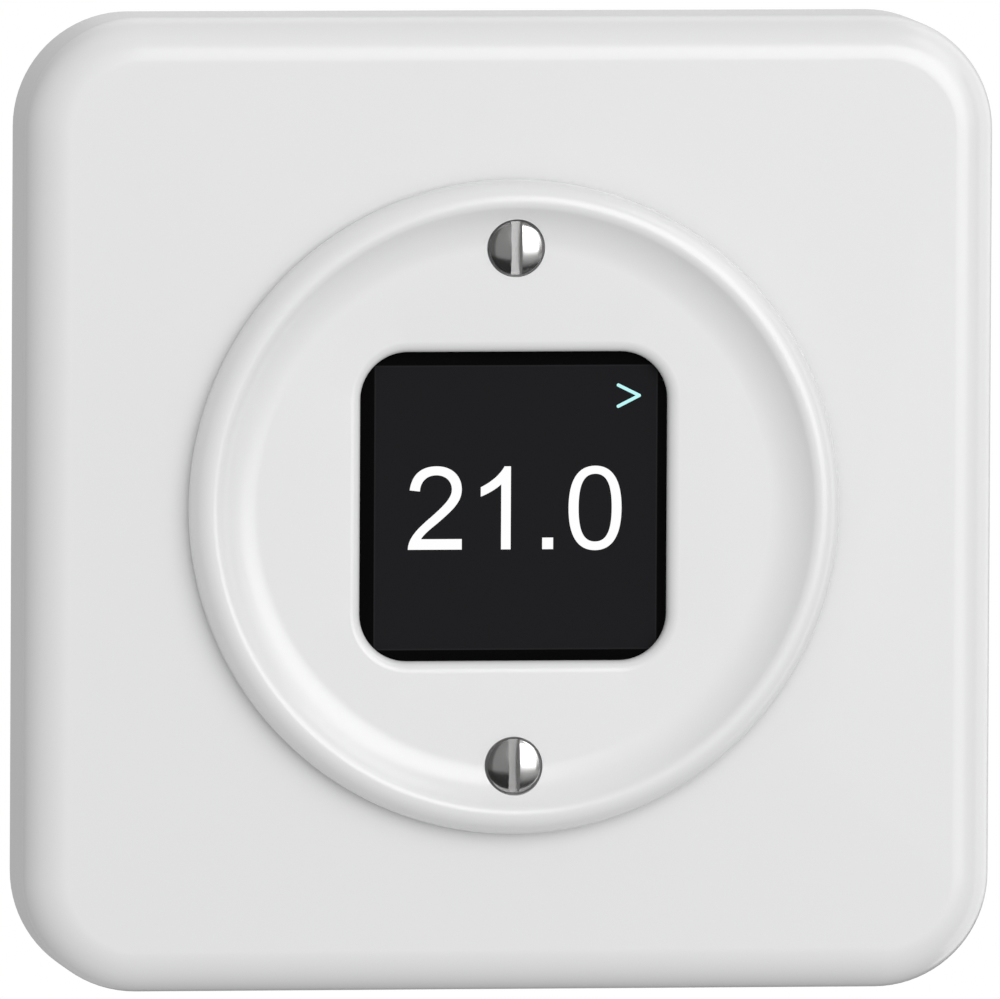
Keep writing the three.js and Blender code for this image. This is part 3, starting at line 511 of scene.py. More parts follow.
@dataclass(frozen=True)
class Laminate(Finish):
    """Lacquered circuit board: copper runs under the lacquer, a faint weave and tinned pads."""

    colour: Colour
    run: Colour
    pad: Colour
    run_scale: float = 260.0
    gap_scale: float = 130.0
    gap_range: Point = (0.46, 0.5)
    pad_scale: float = 320.0
    pad_range: Point = (0.16, 0.2)
    weave_scale: float = 3000.0
    rough: float = 0.28
    depth: float = 1.5e-5

    def build(self, shader: Shader) -> None:
        """Builds the board.

        Args:
            shader: An empty node tree.
        """
        place = shader.place(scale=(1.0, 0.0, 1.0))
        bricks = {
            "Vector": shader.place(turn=(math.pi / 2, 0.0, 0.0)),
            "Scale": self.run_scale,
            "Mortar Size": 0.09,
            "Brick Width": 1.6,
            "Row Height": 0.45,
        }
        brick = shader.node("ShaderNodeTexBrick", {"offset": 0.5}, bricks)
        gaps = shader.noise(place, self.gap_scale, detail=1.0).step(*self.gap_range)
        runs = Value(shader, brick.outputs["Fac"]) * gaps
        pads = 1.0 - shader.cells(place, self.pad_scale).step(*self.pad_range)
        weave = shader.noise(place, self.weave_scale, detail=1.0)
        lacquer = shader.blend(runs, self.colour, self.run)
        shader.surface(
            Base_Color=shader.blend(pads, lacquer, self.pad),
            Metallic=pads * 0.9,
            Roughness=weave * 0.1 + pads * 0.1 + self.rough,
            Normal=shader.bump(runs * 0.5 + pads * 0.3 + weave * 0.2, self.depth),
        )


@dataclass(frozen=True)
class Wound(Finish):
    """Enamelled wire wound side by side round an axis along y."""

    colour: Colour
    gap: Colour
    pitch: float
    sway_scale: float = 160.0
    sway_width: float = 0.1 * MM
    rough: float = 0.22
    depth: float = 6.0e-5

    def build(self, shader: Shader) -> None:
        """Builds the winding.

        Args:
            shader: An empty node tree.
        """
        place = shader.place()
        _, y, _ = shader.split(place)
        sway = shader.noise(place, self.sway_scale, detail=2.0)
        wave = 2 * math.pi / self.pitch
        turns = ((y + sway * self.sway_width) * wave).math("SINE") * 0.5 + 0.5
        shader.surface(
            Base_Color=shader.blend(turns**0.5, self.gap, self.colour),
            Metallic=turns * 0.3 + 0.6,
            Roughness=sway * 0.1 + self.rough,
            Normal=shader.bump(turns, self.depth),
        )


@dataclass(frozen=True)
class Speckled(Finish):
    """Sintered, dipped or foamed stuff: a speckle of two tones with pits."""

    colour: Colour
    speck: Colour
    rough: float
    scale: float
    depth: float
    cloud_size: float = 6.0
    cloud_rough: float = 0.16
    strength: float = 1.6

    def build(self, shader: Shader) -> None:
        """Builds the stuff.

        Args:
            shader: An empty node tree.
        """
        place = shader.place()
        pits = shader.cells(place, self.scale)
        cloud = shader.noise(place, self.scale / self.cloud_size, detail=3.0)
        shader.surface(
            Base_Color=shader.blend(pits * cloud * self.strength, self.colour, self.speck),
            Roughness=cloud * self.cloud_rough + (self.rough - self.cloud_rough / 2),
            Normal=shader.bump(pits * 0.6 + cloud * 0.4, self.depth),
        )


@dataclass(frozen=True)
class Ribbon(Finish):
    """Amber film with fine conductors that run along it."""

    colour: Colour
    line: Colour
    pitch: float
    line_range: Point = (-0.1, 0.25)
    haze_scale: float = 300.0
    rough: float = 0.28
    depth: float = 1.5e-5

    def build(self, shader: Shader) -> None:
        """Builds the film.

        Args:
            shader: An empty node tree.
        """
        place = shader.place()
        x, _, _ = shader.split(place)
        lines = (x * (2 * math.pi / self.pitch)).math("SINE").step(*self.line_range)
        haze = shader.noise(place, self.haze_scale, detail=2.0)
        shader.surface(
            Base_Color=shader.blend(lines, self.colour, self.line),
            Metallic=lines * 0.25,
            Roughness=haze * 0.1 + self.rough,
            Normal=shader.bump(lines, self.depth),
        )


class Finishes:
    """The thermostat's finishes."""

    white = Moulding("white_plastic", (0.845, 0.845, 0.848), 0.24, 0.006, 2600.0, 6.0e-7)
    grey = Moulding("grey_plastic", (0.56, 0.565, 0.565), 0.46, 0.03, 3600.0, 4.0e-6)
    dark = Moulding("dark_plastic", (0.028, 0.029, 0.031), 0.42, 0.12, 3200.0, 4.0e-6)
    block = Moulding("terminal_plastic", (0.03, 0.031, 0.033), 0.5, 0.15, 2400.0, 6.0e-6)
    case = Moulding("relay_plastic", (0.02, 0.045, 0.11), 0.25, 0.08, 2600.0, 2.0e-6)
    cell = Moulding("display_cell", (0.013, 0.013, 0.015), 0.2, 0.1, 6000.0, 4.0e-7)
    nickel = TurnedMetal(
        "nickel_plate", (0.66, 0.655, 0.65), 0.16, 0.02285, 9000.0, 1.0e-7, 0.04,
        milled_level=-13.65 * MM, milled_rough=0.09,
    )
    screw_steel = TurnedMetal("screw_steel", (0.56, 0.56, 0.55), 0.3, 0.021, 16000.0, 8.0e-7, 0.12)
    brass = TurnedMetal("brass", (0.78, 0.58, 0.26), 0.28, 0.02285, 15000.0, 6.0e-7, 0.2)
    strap = SheetMetal("strap_steel", (0.6, 0.62, 0.64), (0.66, 0.64, 0.56), 0.36, (1.0, 1.0, 14.0))
    steel = SheetMetal("steel", (0.56, 0.57, 0.58), (0.5, 0.49, 0.46), 0.34, (1.0, 12.0, 1.0))
    contact = SheetMetal(
        "contact_brass", (0.76, 0.6, 0.32), (0.68, 0.5, 0.24), 0.32, (9.0, 1.0, 1.0)
    )
    copper = SheetMetal("copper", (0.74, 0.42, 0.24), (0.6, 0.33, 0.2), 0.33, (9.0, 1.0, 1.0))
    wire = Wound("copper_wire", (0.72, 0.34, 0.13), (0.12, 0.04, 0.015), 0.00016)
    board = Laminate("board_lacquer", (0.012, 0.1, 0.035), (0.025, 0.19, 0.06), (0.62, 0.62, 0.6))
    ferrite = Speckled("ferrite", (0.035, 0.035, 0.038), (0.1, 0.1, 0.105), 0.62, 2600.0, 1.2e-5)
    foam = Speckled("foam_tape", (0.012, 0.012, 0.012), (0.04, 0.04, 0.04), 0.85, 4200.0, 3.0e-5)
    epoxy = Speckled("dipped_epoxy", (0.03, 0.12, 0.34), (0.05, 0.19, 0.46), 0.34, 420.0, 4.0e-5)
    bead = Speckled("sensor_bead", (0.05, 0.045, 0.04), (0.13, 0.1, 0.08), 0.4, 900.0, 3.0e-5)
    flex = Ribbon("amber_ribbon", (0.5, 0.2, 0.035), (0.66, 0.3, 0.08), 0.0008)
    glass = CoverGlass(
        "cover_glass",
        print_colour=(0.0030, 0.0030, 0.0030),
        area_colour=(0.0156, 0.0156, 0.0172),
        edge_colour=(0.022, 0.022, 0.024),
        left=-12.31 * MM,
        right=12.85 * MM,
        bottom=-12.71 * MM,
        top=12.42 * MM,
        edge=0.1 * MM,
    )
    digits = LitGlyph("lit_digits", (1.0, 1.0, 1.0), 1.0)
    arrow = LitGlyph("lit_arrow", (0.52, 0.95, 0.95), 1.0)


# ---- Shape tools --------------------------------------------------------------------------------


def linked(name: str, data: bpy.types.ID) -> bpy.types.Object:
    """Puts a new object in the scene.

    Args:
        name: Its name.
        data: Its mesh, curve, light or camera.

    Returns:
        The object.
    """
    made = bpy.data.objects.new(name, data)
    bpy.context.scene.collection.objects.link(made)
    return made


def quarter(steps: int) -> list[float]:
    """The angles from 0 to a right angle, in equal steps."""
    return [math.pi / 2 * i / steps for i in range(steps + 1)]


class Axis(Enum):
    """An axis that a solid turns about."""

    X = "X"
    Y = "Y"
    Z = "Z"


class Merge(Enum):
    """How a solid takes in others, under the Boolean modifier's names."""

    CUT = "DIFFERENCE"
    JOIN = "UNION"
    KEEP = "INTERSECT"


class Section(NamedTuple):
    """A rounded rectangle at a level, from which solids are stacked."""

    width: float
    height: float
    corner: float
    level: float


class Solid:
    """A closed shape in millimetres: x to the right, y up, z towards the room."""

    least_corner = 0.02
    profile_weld = 1e-5
    curve_weld = 1e-4
    piece_weld = 2e-5
    shading_weight = 90

    def __init__(self) -> None:
        """Starts an empty shape."""
        self.bm = bmesh.new()

    @classmethod
    def stack(
        cls, sections: Sequence[Section], centre: Point = (0.0, 0.0), steps: int = 8
    ) -> "Solid":
        """A solid through a row of rounded rectangles.

        Args:
            sections: The rectangles, from the rear to the front.
            centre: Their centre in x and y.
            steps: Segments of each corner.

        Returns:
            The solid.
        """
        solid = cls()
        bm = solid.bm
        faces = []
        for section in sections:
            known = set(bm.faces)
            verts = bmesh.ops.create_grid(bm, x_segments=1, y_segments=1, size=0.5)["verts"]
            bmesh.ops.scale(bm, vec=(section.width, section.height, 1.0), verts=verts)
            corner = max(section.corner, cls.least_corner)
            bmesh.ops.bevel(
                bm, geom=verts, offset=corner, segments=steps,
                profile=0.5, affect="VERTICES", material=-1,
            )
            face = next(f for f in bm.faces if f not in known)
            bmesh.ops.translate(bm, vec=(*centre, section.level), verts=face.verts[:])
            faces.append(face)
        loops = [face.edges[:] for face in faces]
        bmesh.ops.delete(bm, geom=faces[1:-1], context="FACES_ONLY")
        for lower, upper in zip(loops, loops[1:]):
            bmesh.ops.bridge_loops(bm, edges=lower + upper)
        bmesh.ops.recalc_face_normals(bm, faces=bm.faces)
        return solid

    @classmethod
    def slab(
        cls, width: float, height: float, corner: float, low: float, high: float,
        centre: Point = (0.0, 0.0), steps: int = 8,
        front: float = 0.0, rear: float = 0.0, edge_steps: int = 3,
    ) -> "Solid":
        """A rounded rectangle between two levels, with rounded front and rear edges.

        Args:
            width: Its size along x.
            height: Its size along y.
            corner: The radius of its corners.
            low: Its rear level.
            high: Its front level.
            centre: Its centre in x and y.
            steps: Segments of each corner.
            front: The radius of its front edge.
            rear: The radius of its rear edge.
            edge_steps: Segments of those edges.

        Returns:
            The solid.
        """

        def section(inset: float, level: float) -> Section:
            """The rectangle at a level, drawn in by an inset."""
            return Section(width - 2 * inset, height - 2 * inset, corner - inset, level)

        angles = quarter(edge_steps)
        square = [(0.0, 0.0)]
        behind = [(rear * (1 - math.sin(a)), rear * (1 - math.cos(a))) for a in angles]
        before = [(front * (1 - math.cos(a)), front * (math.sin(a) - 1)) for a in angles]
        sections = [section(inset, low + rise) for inset, rise in (behind if rear else square)]
        sections += [section(inset, high + rise) for inset, rise in (before if front else square)]
        return cls.stack(sections, centre, steps)

    @classmethod
    def turned(
        cls, profile: Sequence[Point], steps: int = 64, centre: Point = (0.0, 0.0)
    ) -> "Solid":
        """A profile spun round an axis along z.

        Args:
            profile: Radius and level of each point, from the axis outwards and back to it.
            steps: Segments of the full turn.
            centre: Where the axis stands.

        Returns:
            The solid.
        """
        solid = cls()
        bm = solid.bm
        verts = [bm.verts.new((radius, 0.0, level)) for radius, level in profile]
        edges = [bm.edges.new(pair) for pair in zip(verts, verts[1:])]
        bmesh.ops.spin(
            bm, geom=verts + edges, cent=(0.0, 0.0, 0.0), axis=(0.0, 0.0, 1.0),
            angle=2 * math.pi, steps=steps, use_merge=True,
        )
        bmesh.ops.remove_doubles(bm, verts=bm.verts, dist=cls.profile_weld)
        bmesh.ops.dissolve_degenerate(bm, edges=bm.edges, dist=cls.profile_weld)
        bmesh.ops.recalc_face_normals(bm, faces=bm.faces)
        bmesh.ops.translate(bm, vec=(*centre, 0.0), verts=bm.verts)
        return solid

    @classmethod
    def bar(
        cls, width: float, low: float, high: float, centre: Point = (0.0, 0.0), steps: int = 48
    ) -> "Solid":
        """A round bar along z.

        Args:
            width: Its diameter.
            low: Its rear level.
            high: Its front level.
            centre: Its axis.
            steps: Its sides.

        Returns:
            The solid.
        """
        radius = width / 2
        profile = [(0.0, low), (radius, low), (radius, high), (0.0, high)]
        return cls.turned(profile, steps, centre)

    @classmethod
    def block(cls, low: Sequence[float], high: Sequence[float], ease: float = 0.0) -> "Solid":
        """A box with eased edges.

        Args:
            low: Its lowest corner.
            high: Its highest corner.
            ease: The radius of its edges.

        Returns:
            The solid.
        """
        solid = cls()
        bm = solid.bm
        bmesh.ops.create_cube(bm, size=1.0)
        corners_of = list(zip(low, high, strict=True))
        bmesh.ops.scale(bm, vec=[b - a for a, b in corners_of], verts=bm.verts)
        bmesh.ops.translate(bm, vec=[(a + b) / 2 for a, b in corners_of], verts=bm.verts)
        if ease > 0:
            bmesh.ops.bevel(
                bm, geom=bm.edges[:], offset=ease, segments=2,
                profile=0.5, affect="EDGES", material=-1,
            )
        return solid

    @classmethod
    def stroke(cls, start: Point, end: Point, width: float, low: float, high: float) -> "Solid":
        """A round-ended line between two levels.

        Args:
            start: Where it starts.
            end: Where it ends.
            width: Its width.
            low: Its rear level.
            high: Its front level.

        Returns:
            The solid.
        """
        (ax, ay), (bx, by) = start, end
        length = math.hypot(bx - ax, by - ay) + width
        made = cls.slab(length, width, width * ROUND_END, low, high)
        made.turn(math.degrees(math.atan2(by - ay, bx - ax)))
        return made.move((ax + bx) / 2, (ay + by) / 2, 0.0)

    @classmethod
    def from_curve(cls, curve: bpy.types.Curve) -> "Solid":
        """The mesh of a flat curve or of text.

        Args:
            curve: The curve, which is used up.

        Returns:
            The solid.
        """
        made = linked("work", curve)
        graph = bpy.context.evaluated_depsgraph_get()
        mesh = bpy.data.meshes.new_from_object(made.evaluated_get(graph))
        solid = cls()
        solid.bm.from_mesh(mesh)
        bmesh.ops.remove_doubles(solid.bm, verts=solid.bm.verts, dist=cls.curve_weld)
        bmesh.ops.recalc_face_normals(solid.bm, faces=solid.bm.faces)
        bpy.data.meshes.remove(mesh)
        bpy.data.objects.remove(made)
        bpy.data.curves.remove(curve)
        return solid

    @classmethod
    def drawn(cls, outlines: Sequence["Outline"], depth: float, grow: float = 0.0) -> "Solid":
        """A flat shape with the given outlines, about level 0.

        Args:
            outlines: Its outer outline and those of its holes.
            depth: Its thickness.
            grow: How far its edges lie outside the outlines.

        Returns:
            The solid.
        """
        curve = bpy.data.curves.new("work", "CURVE")
        curve.dimensions = "2D"
        curve.fill_mode = "BOTH"
        curve.offset = grow
        curve.extrude = depth / 2
        curve.resolution_u = 16
        for outline in outlines:
            outline.add_to(curve)
        return cls.from_curve(curve)

    @classmethod
    def number(cls, value: int, height: float, depth: float) -> "Solid":
        """A plain number about the origin.

        Args:
            value: The number.
            height: The size of its letters.
            depth: Its thickness.

        Returns:
            The solid.
        """
        curve = bpy.data.curves.new("work", "FONT")
        curve.body = str(value)
        curve.size = height
        curve.extrude = depth / 2
        curve.align_x = "CENTER"
        curve.align_y = "CENTER"
        curve.resolution_u = 6
        return cls.from_curve(curve)

    def turn(self, degrees: float, axis: Axis = Axis.Z) -> "Solid":
        """Turns the solid about an axis through the origin.

        Args:
            degrees: The angle.
            axis: The axis.

        Returns:
            The solid itself.
        """
        spin = Matrix.Rotation(math.radians(degrees), 3, axis.value)
        bmesh.ops.rotate(self.bm, cent=(0.0, 0.0, 0.0), matrix=spin, verts=self.bm.verts)
        return self

    def move(self, *by: float) -> "Solid":
        """Moves the solid and returns it."""
        bmesh.ops.translate(self.bm, vec=by, verts=self.bm.verts)
        return self

    def as_object(self) -> bpy.types.Object:
        """A working object with this shape.

        Returns:
            The object.
        """
        mesh = bpy.data.meshes.new("work")
        self.bm.to_mesh(mesh)
        return linked("work", mesh)

    def combine(self, others: Sequence["Solid"], merge: Merge) -> "Solid":
        """Joins or cuts with other solids.

        Args:
            others: The other solids.
            merge: What is done with them.

        Returns:
            The solid itself.
        """
        base = self.as_object()
        tools = [other.as_object() for other in others]
        for tool in tools:
            modifier = base.modifiers.new("work", "BOOLEAN")
            modifier.operation = merge.value
            modifier.solver = "EXACT"
            modifier.object = tool
        graph = bpy.context.evaluated_depsgraph_get()
        mesh = bpy.data.meshes.new_from_object(base.evaluated_get(graph))
        self.bm.clear()
        self.bm.from_mesh(mesh)
        bpy.data.meshes.remove(mesh)
        for made in [base, *tools]:
            data = made.data
            bpy.data.objects.remove(made)
            bpy.data.meshes.remove(data)
        return self

    def cut(self, *others: "Solid") -> "Solid":
        """Cuts other solids away and returns this one."""
        return self.combine(others, Merge.CUT)

    def join(self, *others: "Solid") -> "Solid":
        """Joins other solids on and returns this one."""
        return self.combine(others, Merge.JOIN)

    def keep(self, other: "Solid") -> "Solid":
        """Keeps only what lies inside another solid and returns this one."""
        return self.combine([other], Merge.KEEP)

    def piece(
        self, name: str, finish: Finish, body: str, slot: str,
        replaces: Sequence[str] = (), ease: float = 0.0, sharp: float = 32.0,
    ) -> None:
        """Makes the finished piece and ties it to the part.

        Args:
            name: The piece's name.
            finish: Its finish.
            body: The body that it rides on.
            slot: The record's material slot. It is not used.
            replaces: The nodes that it stands for.
            ease: The width of a small bevel on its sharp edges.
            sharp: Edges that turn by more than this stay sharp, in degrees.
        """
        bmesh.ops.remove_doubles(self.bm, verts=self.bm.verts, dist=self.piece_weld)
        self.bm.transform(Matrix.Rotation(math.pi / 2, 4, "X") @ Matrix.Scale(MM, 4))
        mesh = bpy.data.meshes.new(name)
        self.bm.to_mesh(mesh)
        self.bm.free()
        mesh.materials.append(finish.material())
        mesh.shade_smooth()
        mesh.set_sharp_from_angle(angle=math.radians(sharp))
        made = linked(name, mesh)
        if ease > 0:
            bevel = made.modifiers.new("eased edges", "BEVEL")
            bevel.width = ease * MM
            bevel.segments = 2
            bevel.limit_method = "ANGLE"
            bevel.angle_limit = math.radians(sharp)
            bevel.harden_normals = True
        weigh = made.modifiers.new("even shading", "WEIGHTED_NORMAL")
        weigh.keep_sharp = True
        weigh.weight = self.shading_weight
        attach(made, body)
        if replaces:
            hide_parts(*replaces)
        LOG.info("piece %s on %s, %d faces", made.name, body, len(made.data.polygons))


def levels(node: str) -> Point:
    """Rear and front level of a node, in millimetres from the wall."""
    low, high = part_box(node)
    return -high.y / MM, -low.y / MM


def spans(node: str) -> tuple[Point, Point]:
    """A node's lowest and highest x, and its lowest and highest y, in millimetres."""
    low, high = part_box(node)
    return (low.x / MM, high.x / MM), (low.z / MM, high.z / MM)


def middle_of(node: str) -> Point:
    """The x and y of a node's middle, in millimetres."""
    (left, right), (low, high) = spans(node)
    return (left + right) / 2, (low + high) / 2


def corners(offset: float) -> list[Point]:
    """The corners of a square about the centre, each this far to the side and up or down."""
    return [(offset, offset), (-offset, offset), (-offset, -offset), (offset, -offset)]


# ---- Cover plate --------------------------------------------------------------------------------


@dataclass
class CoverPlate:
    """The square plate: a hollow shell with a round opening and short ribs inside."""

    width: float = 86.0
    corner: float = 10.1
    depth: float = 12.5
    edge: float = 3.8
    wall: float = 2.2
    inner_edge: float = 1.7
    hole: float = 53.2
    rib_length: float = 5.0
    rib_thickness: float = 1.2
    rib_depth: float = 5.0
    rib_offset: float = 20.0
    rib_ease: float = 0.15
    rib_root: float = 0.5
    rear_edge: float = 0.25

    def build(self) -> None:
        """Builds the plate."""
        width, edge = self.width, self.edge
        shell = Solid.slab(
            width, width, self.corner, 0.0, self.depth,
            steps=20, front=edge, rear=self.rear_edge, edge_steps=12,
        )
        inner, corner = width - 2 * self.wall, self.corner - self.wall
        ceiling = self.depth - self.wall
        hollow = Solid.slab(
            inner, inner, corner, -5 * PAST, ceiling, steps=12, front=self.inner_edge, edge_steps=5
        )
        hole = Solid.bar(self.hole, ceiling - 2 * PAST, self.depth + 2 * PAST, steps=128)
        shell.cut(hollow, hole).join(*self.ribs(inner / 2, ceiling))
        shell.piece(
            "cover_plate_shell", Finishes.white, "housing", "white_plastic", ["cover_plate"]
        )

    def ribs(self, side: float, ceiling: float) -> list[Solid]:
        """The stiffening ribs inside the four walls.

        Args:
            side: How far the inner faces of the walls are from the centre.
            ceiling: The level of the inner face of the front.

        Returns:
            The ribs.
        """
        made = []
        half = self.rib_thickness / 2
        for wall in range(4):
            for offset in (-self.rib_offset, self.rib_offset):
                low = (side - self.rib_length, offset - half, ceiling - self.rib_depth)
                high = (side + self.rib_root, offset + half, ceiling + self.rib_root)
                made.append(Solid.block(low, high, self.rib_ease).turn(90 * wall))
        return made


# ---- Centre disc --------------------------------------------------------------------------------


@dataclass
class CentreDisc:
    """The round disc: a rolled rim, a shallow dish, a square window and two sunk screw holes."""

    width: float = 57.8
    plate: float = 12.5
    edge_height: float = 0.8
    rim_width: float = 1.85
    rim_height: float = 3.2
    rim_slope: float = math.radians(47)
    crest_radius: float = 1.0
    dish_height: float = 1.3
    wall: float = 2.6
    seat_gap: float = 0.6
    skirt: float = 26.3
    skirt_inset: float = 0.15
    window: float = 27.3
    window_corner: float = 4.2
    window_edge: float = 1.0
    window_lip: float = 1.2
    recess: float = 30.7
    recess_corner: float = 1.7
    screw_height: float = 22.85
    head_hole: float = 5.15
    sink_depth: float = 1.49
    sink_edge: float = 0.9
    shank_hole: float = 3.4
    boss: float = 6.9
    boss_low: float = 8.1
    edge_steps: int = 12
    crest_steps: int = 6
    hollow_steps: int = 14
    window_steps: int = 8

    def rim(self) -> list[Point]:
        """The rim's profile, from the outer edge over the crest down to the dish.

        Returns:
            Radius and level of each point.
        """
        dish = self.plate + self.dish_height
        edge, crest = self.plate + self.edge_height, self.plate + self.rim_height
        points = []
        for angle in quarter(self.edge_steps):
            radius = self.width / 2 - self.rim_width * (1 - math.cos(angle))
            points.append((radius, edge + (crest - edge) * math.sin(angle)))
        for i in range(1, self.crest_steps + 1):
            angle = self.rim_slope * i / self.crest_steps
            radius = self.width / 2 - self.rim_width - self.crest_radius * math.sin(angle)
            points.append((radius, crest - self.crest_radius * (1 - math.cos(angle))))
        slope_radius, slope_level = points[-1]
        hollow = (slope_level - dish) / (1 - math.cos(self.rim_slope))
        foot = slope_radius - hollow * math.sin(self.rim_slope)
        for i in range(1, self.hollow_steps + 1):
            angle = self.rim_slope * (1 - i / self.hollow_steps)
            points.append((foot + hollow * math.sin(angle), dish + hollow * (1 - math.cos(angle))))
        return points

    def build(self) -> None:
        """Builds the disc."""
        dish = self.plate + self.dish_height
        rear = dish - self.wall
        seat = self.plate + self.seat_gap
        outer = self.width / 2 - self.skirt_inset
        profile = [(0.0, rear), (self.skirt, rear), (self.skirt, seat), (outer, seat)]
        disc = Solid.turned([*profile, *self.rim(), (0.0, dish)], steps=160)
        lip = dish - self.window_lip
        recess = Solid.slab(
            self.recess, self.recess, self.recess_corner, rear - PAST, lip, steps=4
        )
        disc.join(*self.bosses(rear))
        disc.cut(self.opening(rear, dish), recess, *self.screw_holes(dish))
        disc.piece("centre_disc_face", Finishes.white, "housing", "white_plastic", ["centre_disc"])

    def opening(self, rear: float, dish: float) -> Solid:
        """The window's opening, which widens over a rounded edge towards the room.

        Args:
            rear: The disc's rear level.
            dish: The dish's level.

        Returns:
            The solid to cut away.
        """
        sections = [Section(self.window, self.window, self.window_corner, rear - PAST)]
        for angle in quarter(self.window_steps):
            out = self.window_edge * (1 - math.cos(angle))
            width = self.window + 2 * out
            level = dish - self.window_edge * (1 - math.sin(angle))
            sections.append(Section(width, width, self.window_corner + out, level))
        width, _, corner, _ = sections[-1]
        sections.append(Section(width, width, corner, dish + 4 * PAST))
        return Solid.stack(sections, steps=14)

    def bosses(self, rear: float) -> list[Solid]:
        """The two screw bosses behind the disc, up to its rear level."""
        return [
            Solid.bar(self.boss, self.boss_low, rear + PAST, (0.0, side * self.screw_height))
            for side in (-1, 1)
        ]

    def screw_holes(self, dish: float) -> list[Solid]:
        """The sunk holes of the two screws.

        Args:
            dish: The dish's level.

        Returns:
            The solids to cut away.
        """
        head, shank, top = self.head_hole / 2, self.shank_hole / 2, dish + 5 * PAST
        profile = [(0.0, 0.0), (shank, 0.0), (shank, dish - self.sink_depth)]
        profile += [(head, dish - self.sink_edge), (head, top), (0.0, top)]
        middles = [(0.0, side * self.screw_height) for side in (-1, 1)]
        return [Solid.turned(profile, steps=72, centre=middle) for middle in middles]


# ---- Display ------------------------------------------------------------------------------------


# A stroke of an outline: a straight line to one point, or a curve with two handles and its end.
Stroke = tuple[Point, ...]


@dataclass(frozen=True)
class Outline:
    """A closed outline of lines and curves, in millimetres from the window's centre."""

    start: Point
    strokes: tuple[Stroke, ...]

    @classmethod
    def oval(cls, centre: Point, half: Point, bulge: float) -> "Outline":
        """An upright oval.

        Args:
            centre: Its centre.
            half: Half its width and height.
            bulge: How far its handles reach, from 0.55 for an ellipse to 1 for a rectangle.

        Returns:
            The outline.
        """
        (x, y), (w, h) = centre, half
        turns = [(1, 0), (0, 1), (-1, 0), (0, -1), (1, 0)]
        strokes = []
        for (ax, ay), (bx, by) in zip(turns, turns[1:]):
            first = (x + w * (ax + bulge * bx), y + h * (ay + bulge * by))
            second = (x + w * (bx + bulge * ax), y + h * (by + bulge * ay))
            strokes.append((first, second, (x + w * bx, y + h * by)))
        return cls((x + w, y), tuple(strokes))

    def add_to(self, curve: bpy.types.Curve) -> None:
        """Adds the outline to a flat curve.

        Args:
            curve: The curve.
        """
        spline = curve.splines.new("BEZIER")
        spline.use_cyclic_u = True
        spline.bezier_points.add(len(self.strokes) - 1)
        points = [self.start, *(stroke[-1] for stroke in self.strokes[:-1])]
        for i, (point, stroke) in enumerate(zip(spline.bezier_points, self.strokes, strict=True)):
            before = self.strokes[i - 1]
            point.co = (*points[i], 0.0)
            point.handle_left_type = point.handle_right_type = "FREE"
            point.handle_left = (*(before[1] if len(before) > 1 else points[i]), 0.0)
            point.handle_right = (*(stroke[0] if len(stroke) > 1 else points[i]), 0.0)


TWO = Outline(
    (-9.35, 1.39),
    (
        ((-9.17, 2.80), (-8.33, 3.54), (-6.93, 3.54)),
        ((-5.55, 3.54), (-4.68, 2.66), (-4.68, 1.47)),
        ((-4.68, 0.40), (-5.45, -0.30), (-6.32, -1.08)),
        ((-7.15, -1.83), (-7.90, -2.30), (-8.27, -2.89)),
        ((-4.66, -2.89),),
        ((-4.66, -3.86),),
        ((-9.49, -3.86),),
        ((-9.49, -2.75), (-8.50, -1.85), (-7.40, -0.92)),
        ((-6.05, 0.25), (-5.60, 0.85), (-5.60, 1.46)),
        ((-5.60, 2.20), (-6.15, 2.71), (-6.97, 2.71)),
        ((-7.85, 2.71), (-8.38, 2.10), (-8.40, 1.28)),
        ((-9.35, 1.39),),
    ),
)
ONE = Outline(
    (-0.92, 3.51),
    (
        ((-1.22, 2.92), (-1.95, 2.18), (-3.03, 1.67)),
        ((-3.03, 0.79),),
        ((-2.45, 1.02), (-1.65, 1.45), (-1.21, 1.87)),
        ((-1.21, -3.86),),
        ((-0.32, -3.86),),
        ((-0.32, 3.51),),
        ((-0.92, 3.51),),
    ),
)
POINT = Outline(
    (2.45, -3.86), (((3.46, -3.86),), ((3.46, -2.80),), ((2.45, -2.80),), ((2.45, -3.86),))
)
ZERO = (
    Outline.oval((7.155, -0.22), (2.375, 3.75), 0.657),
    Outline.oval((7.165, -0.195), (1.455, 2.975), 0.69),
)


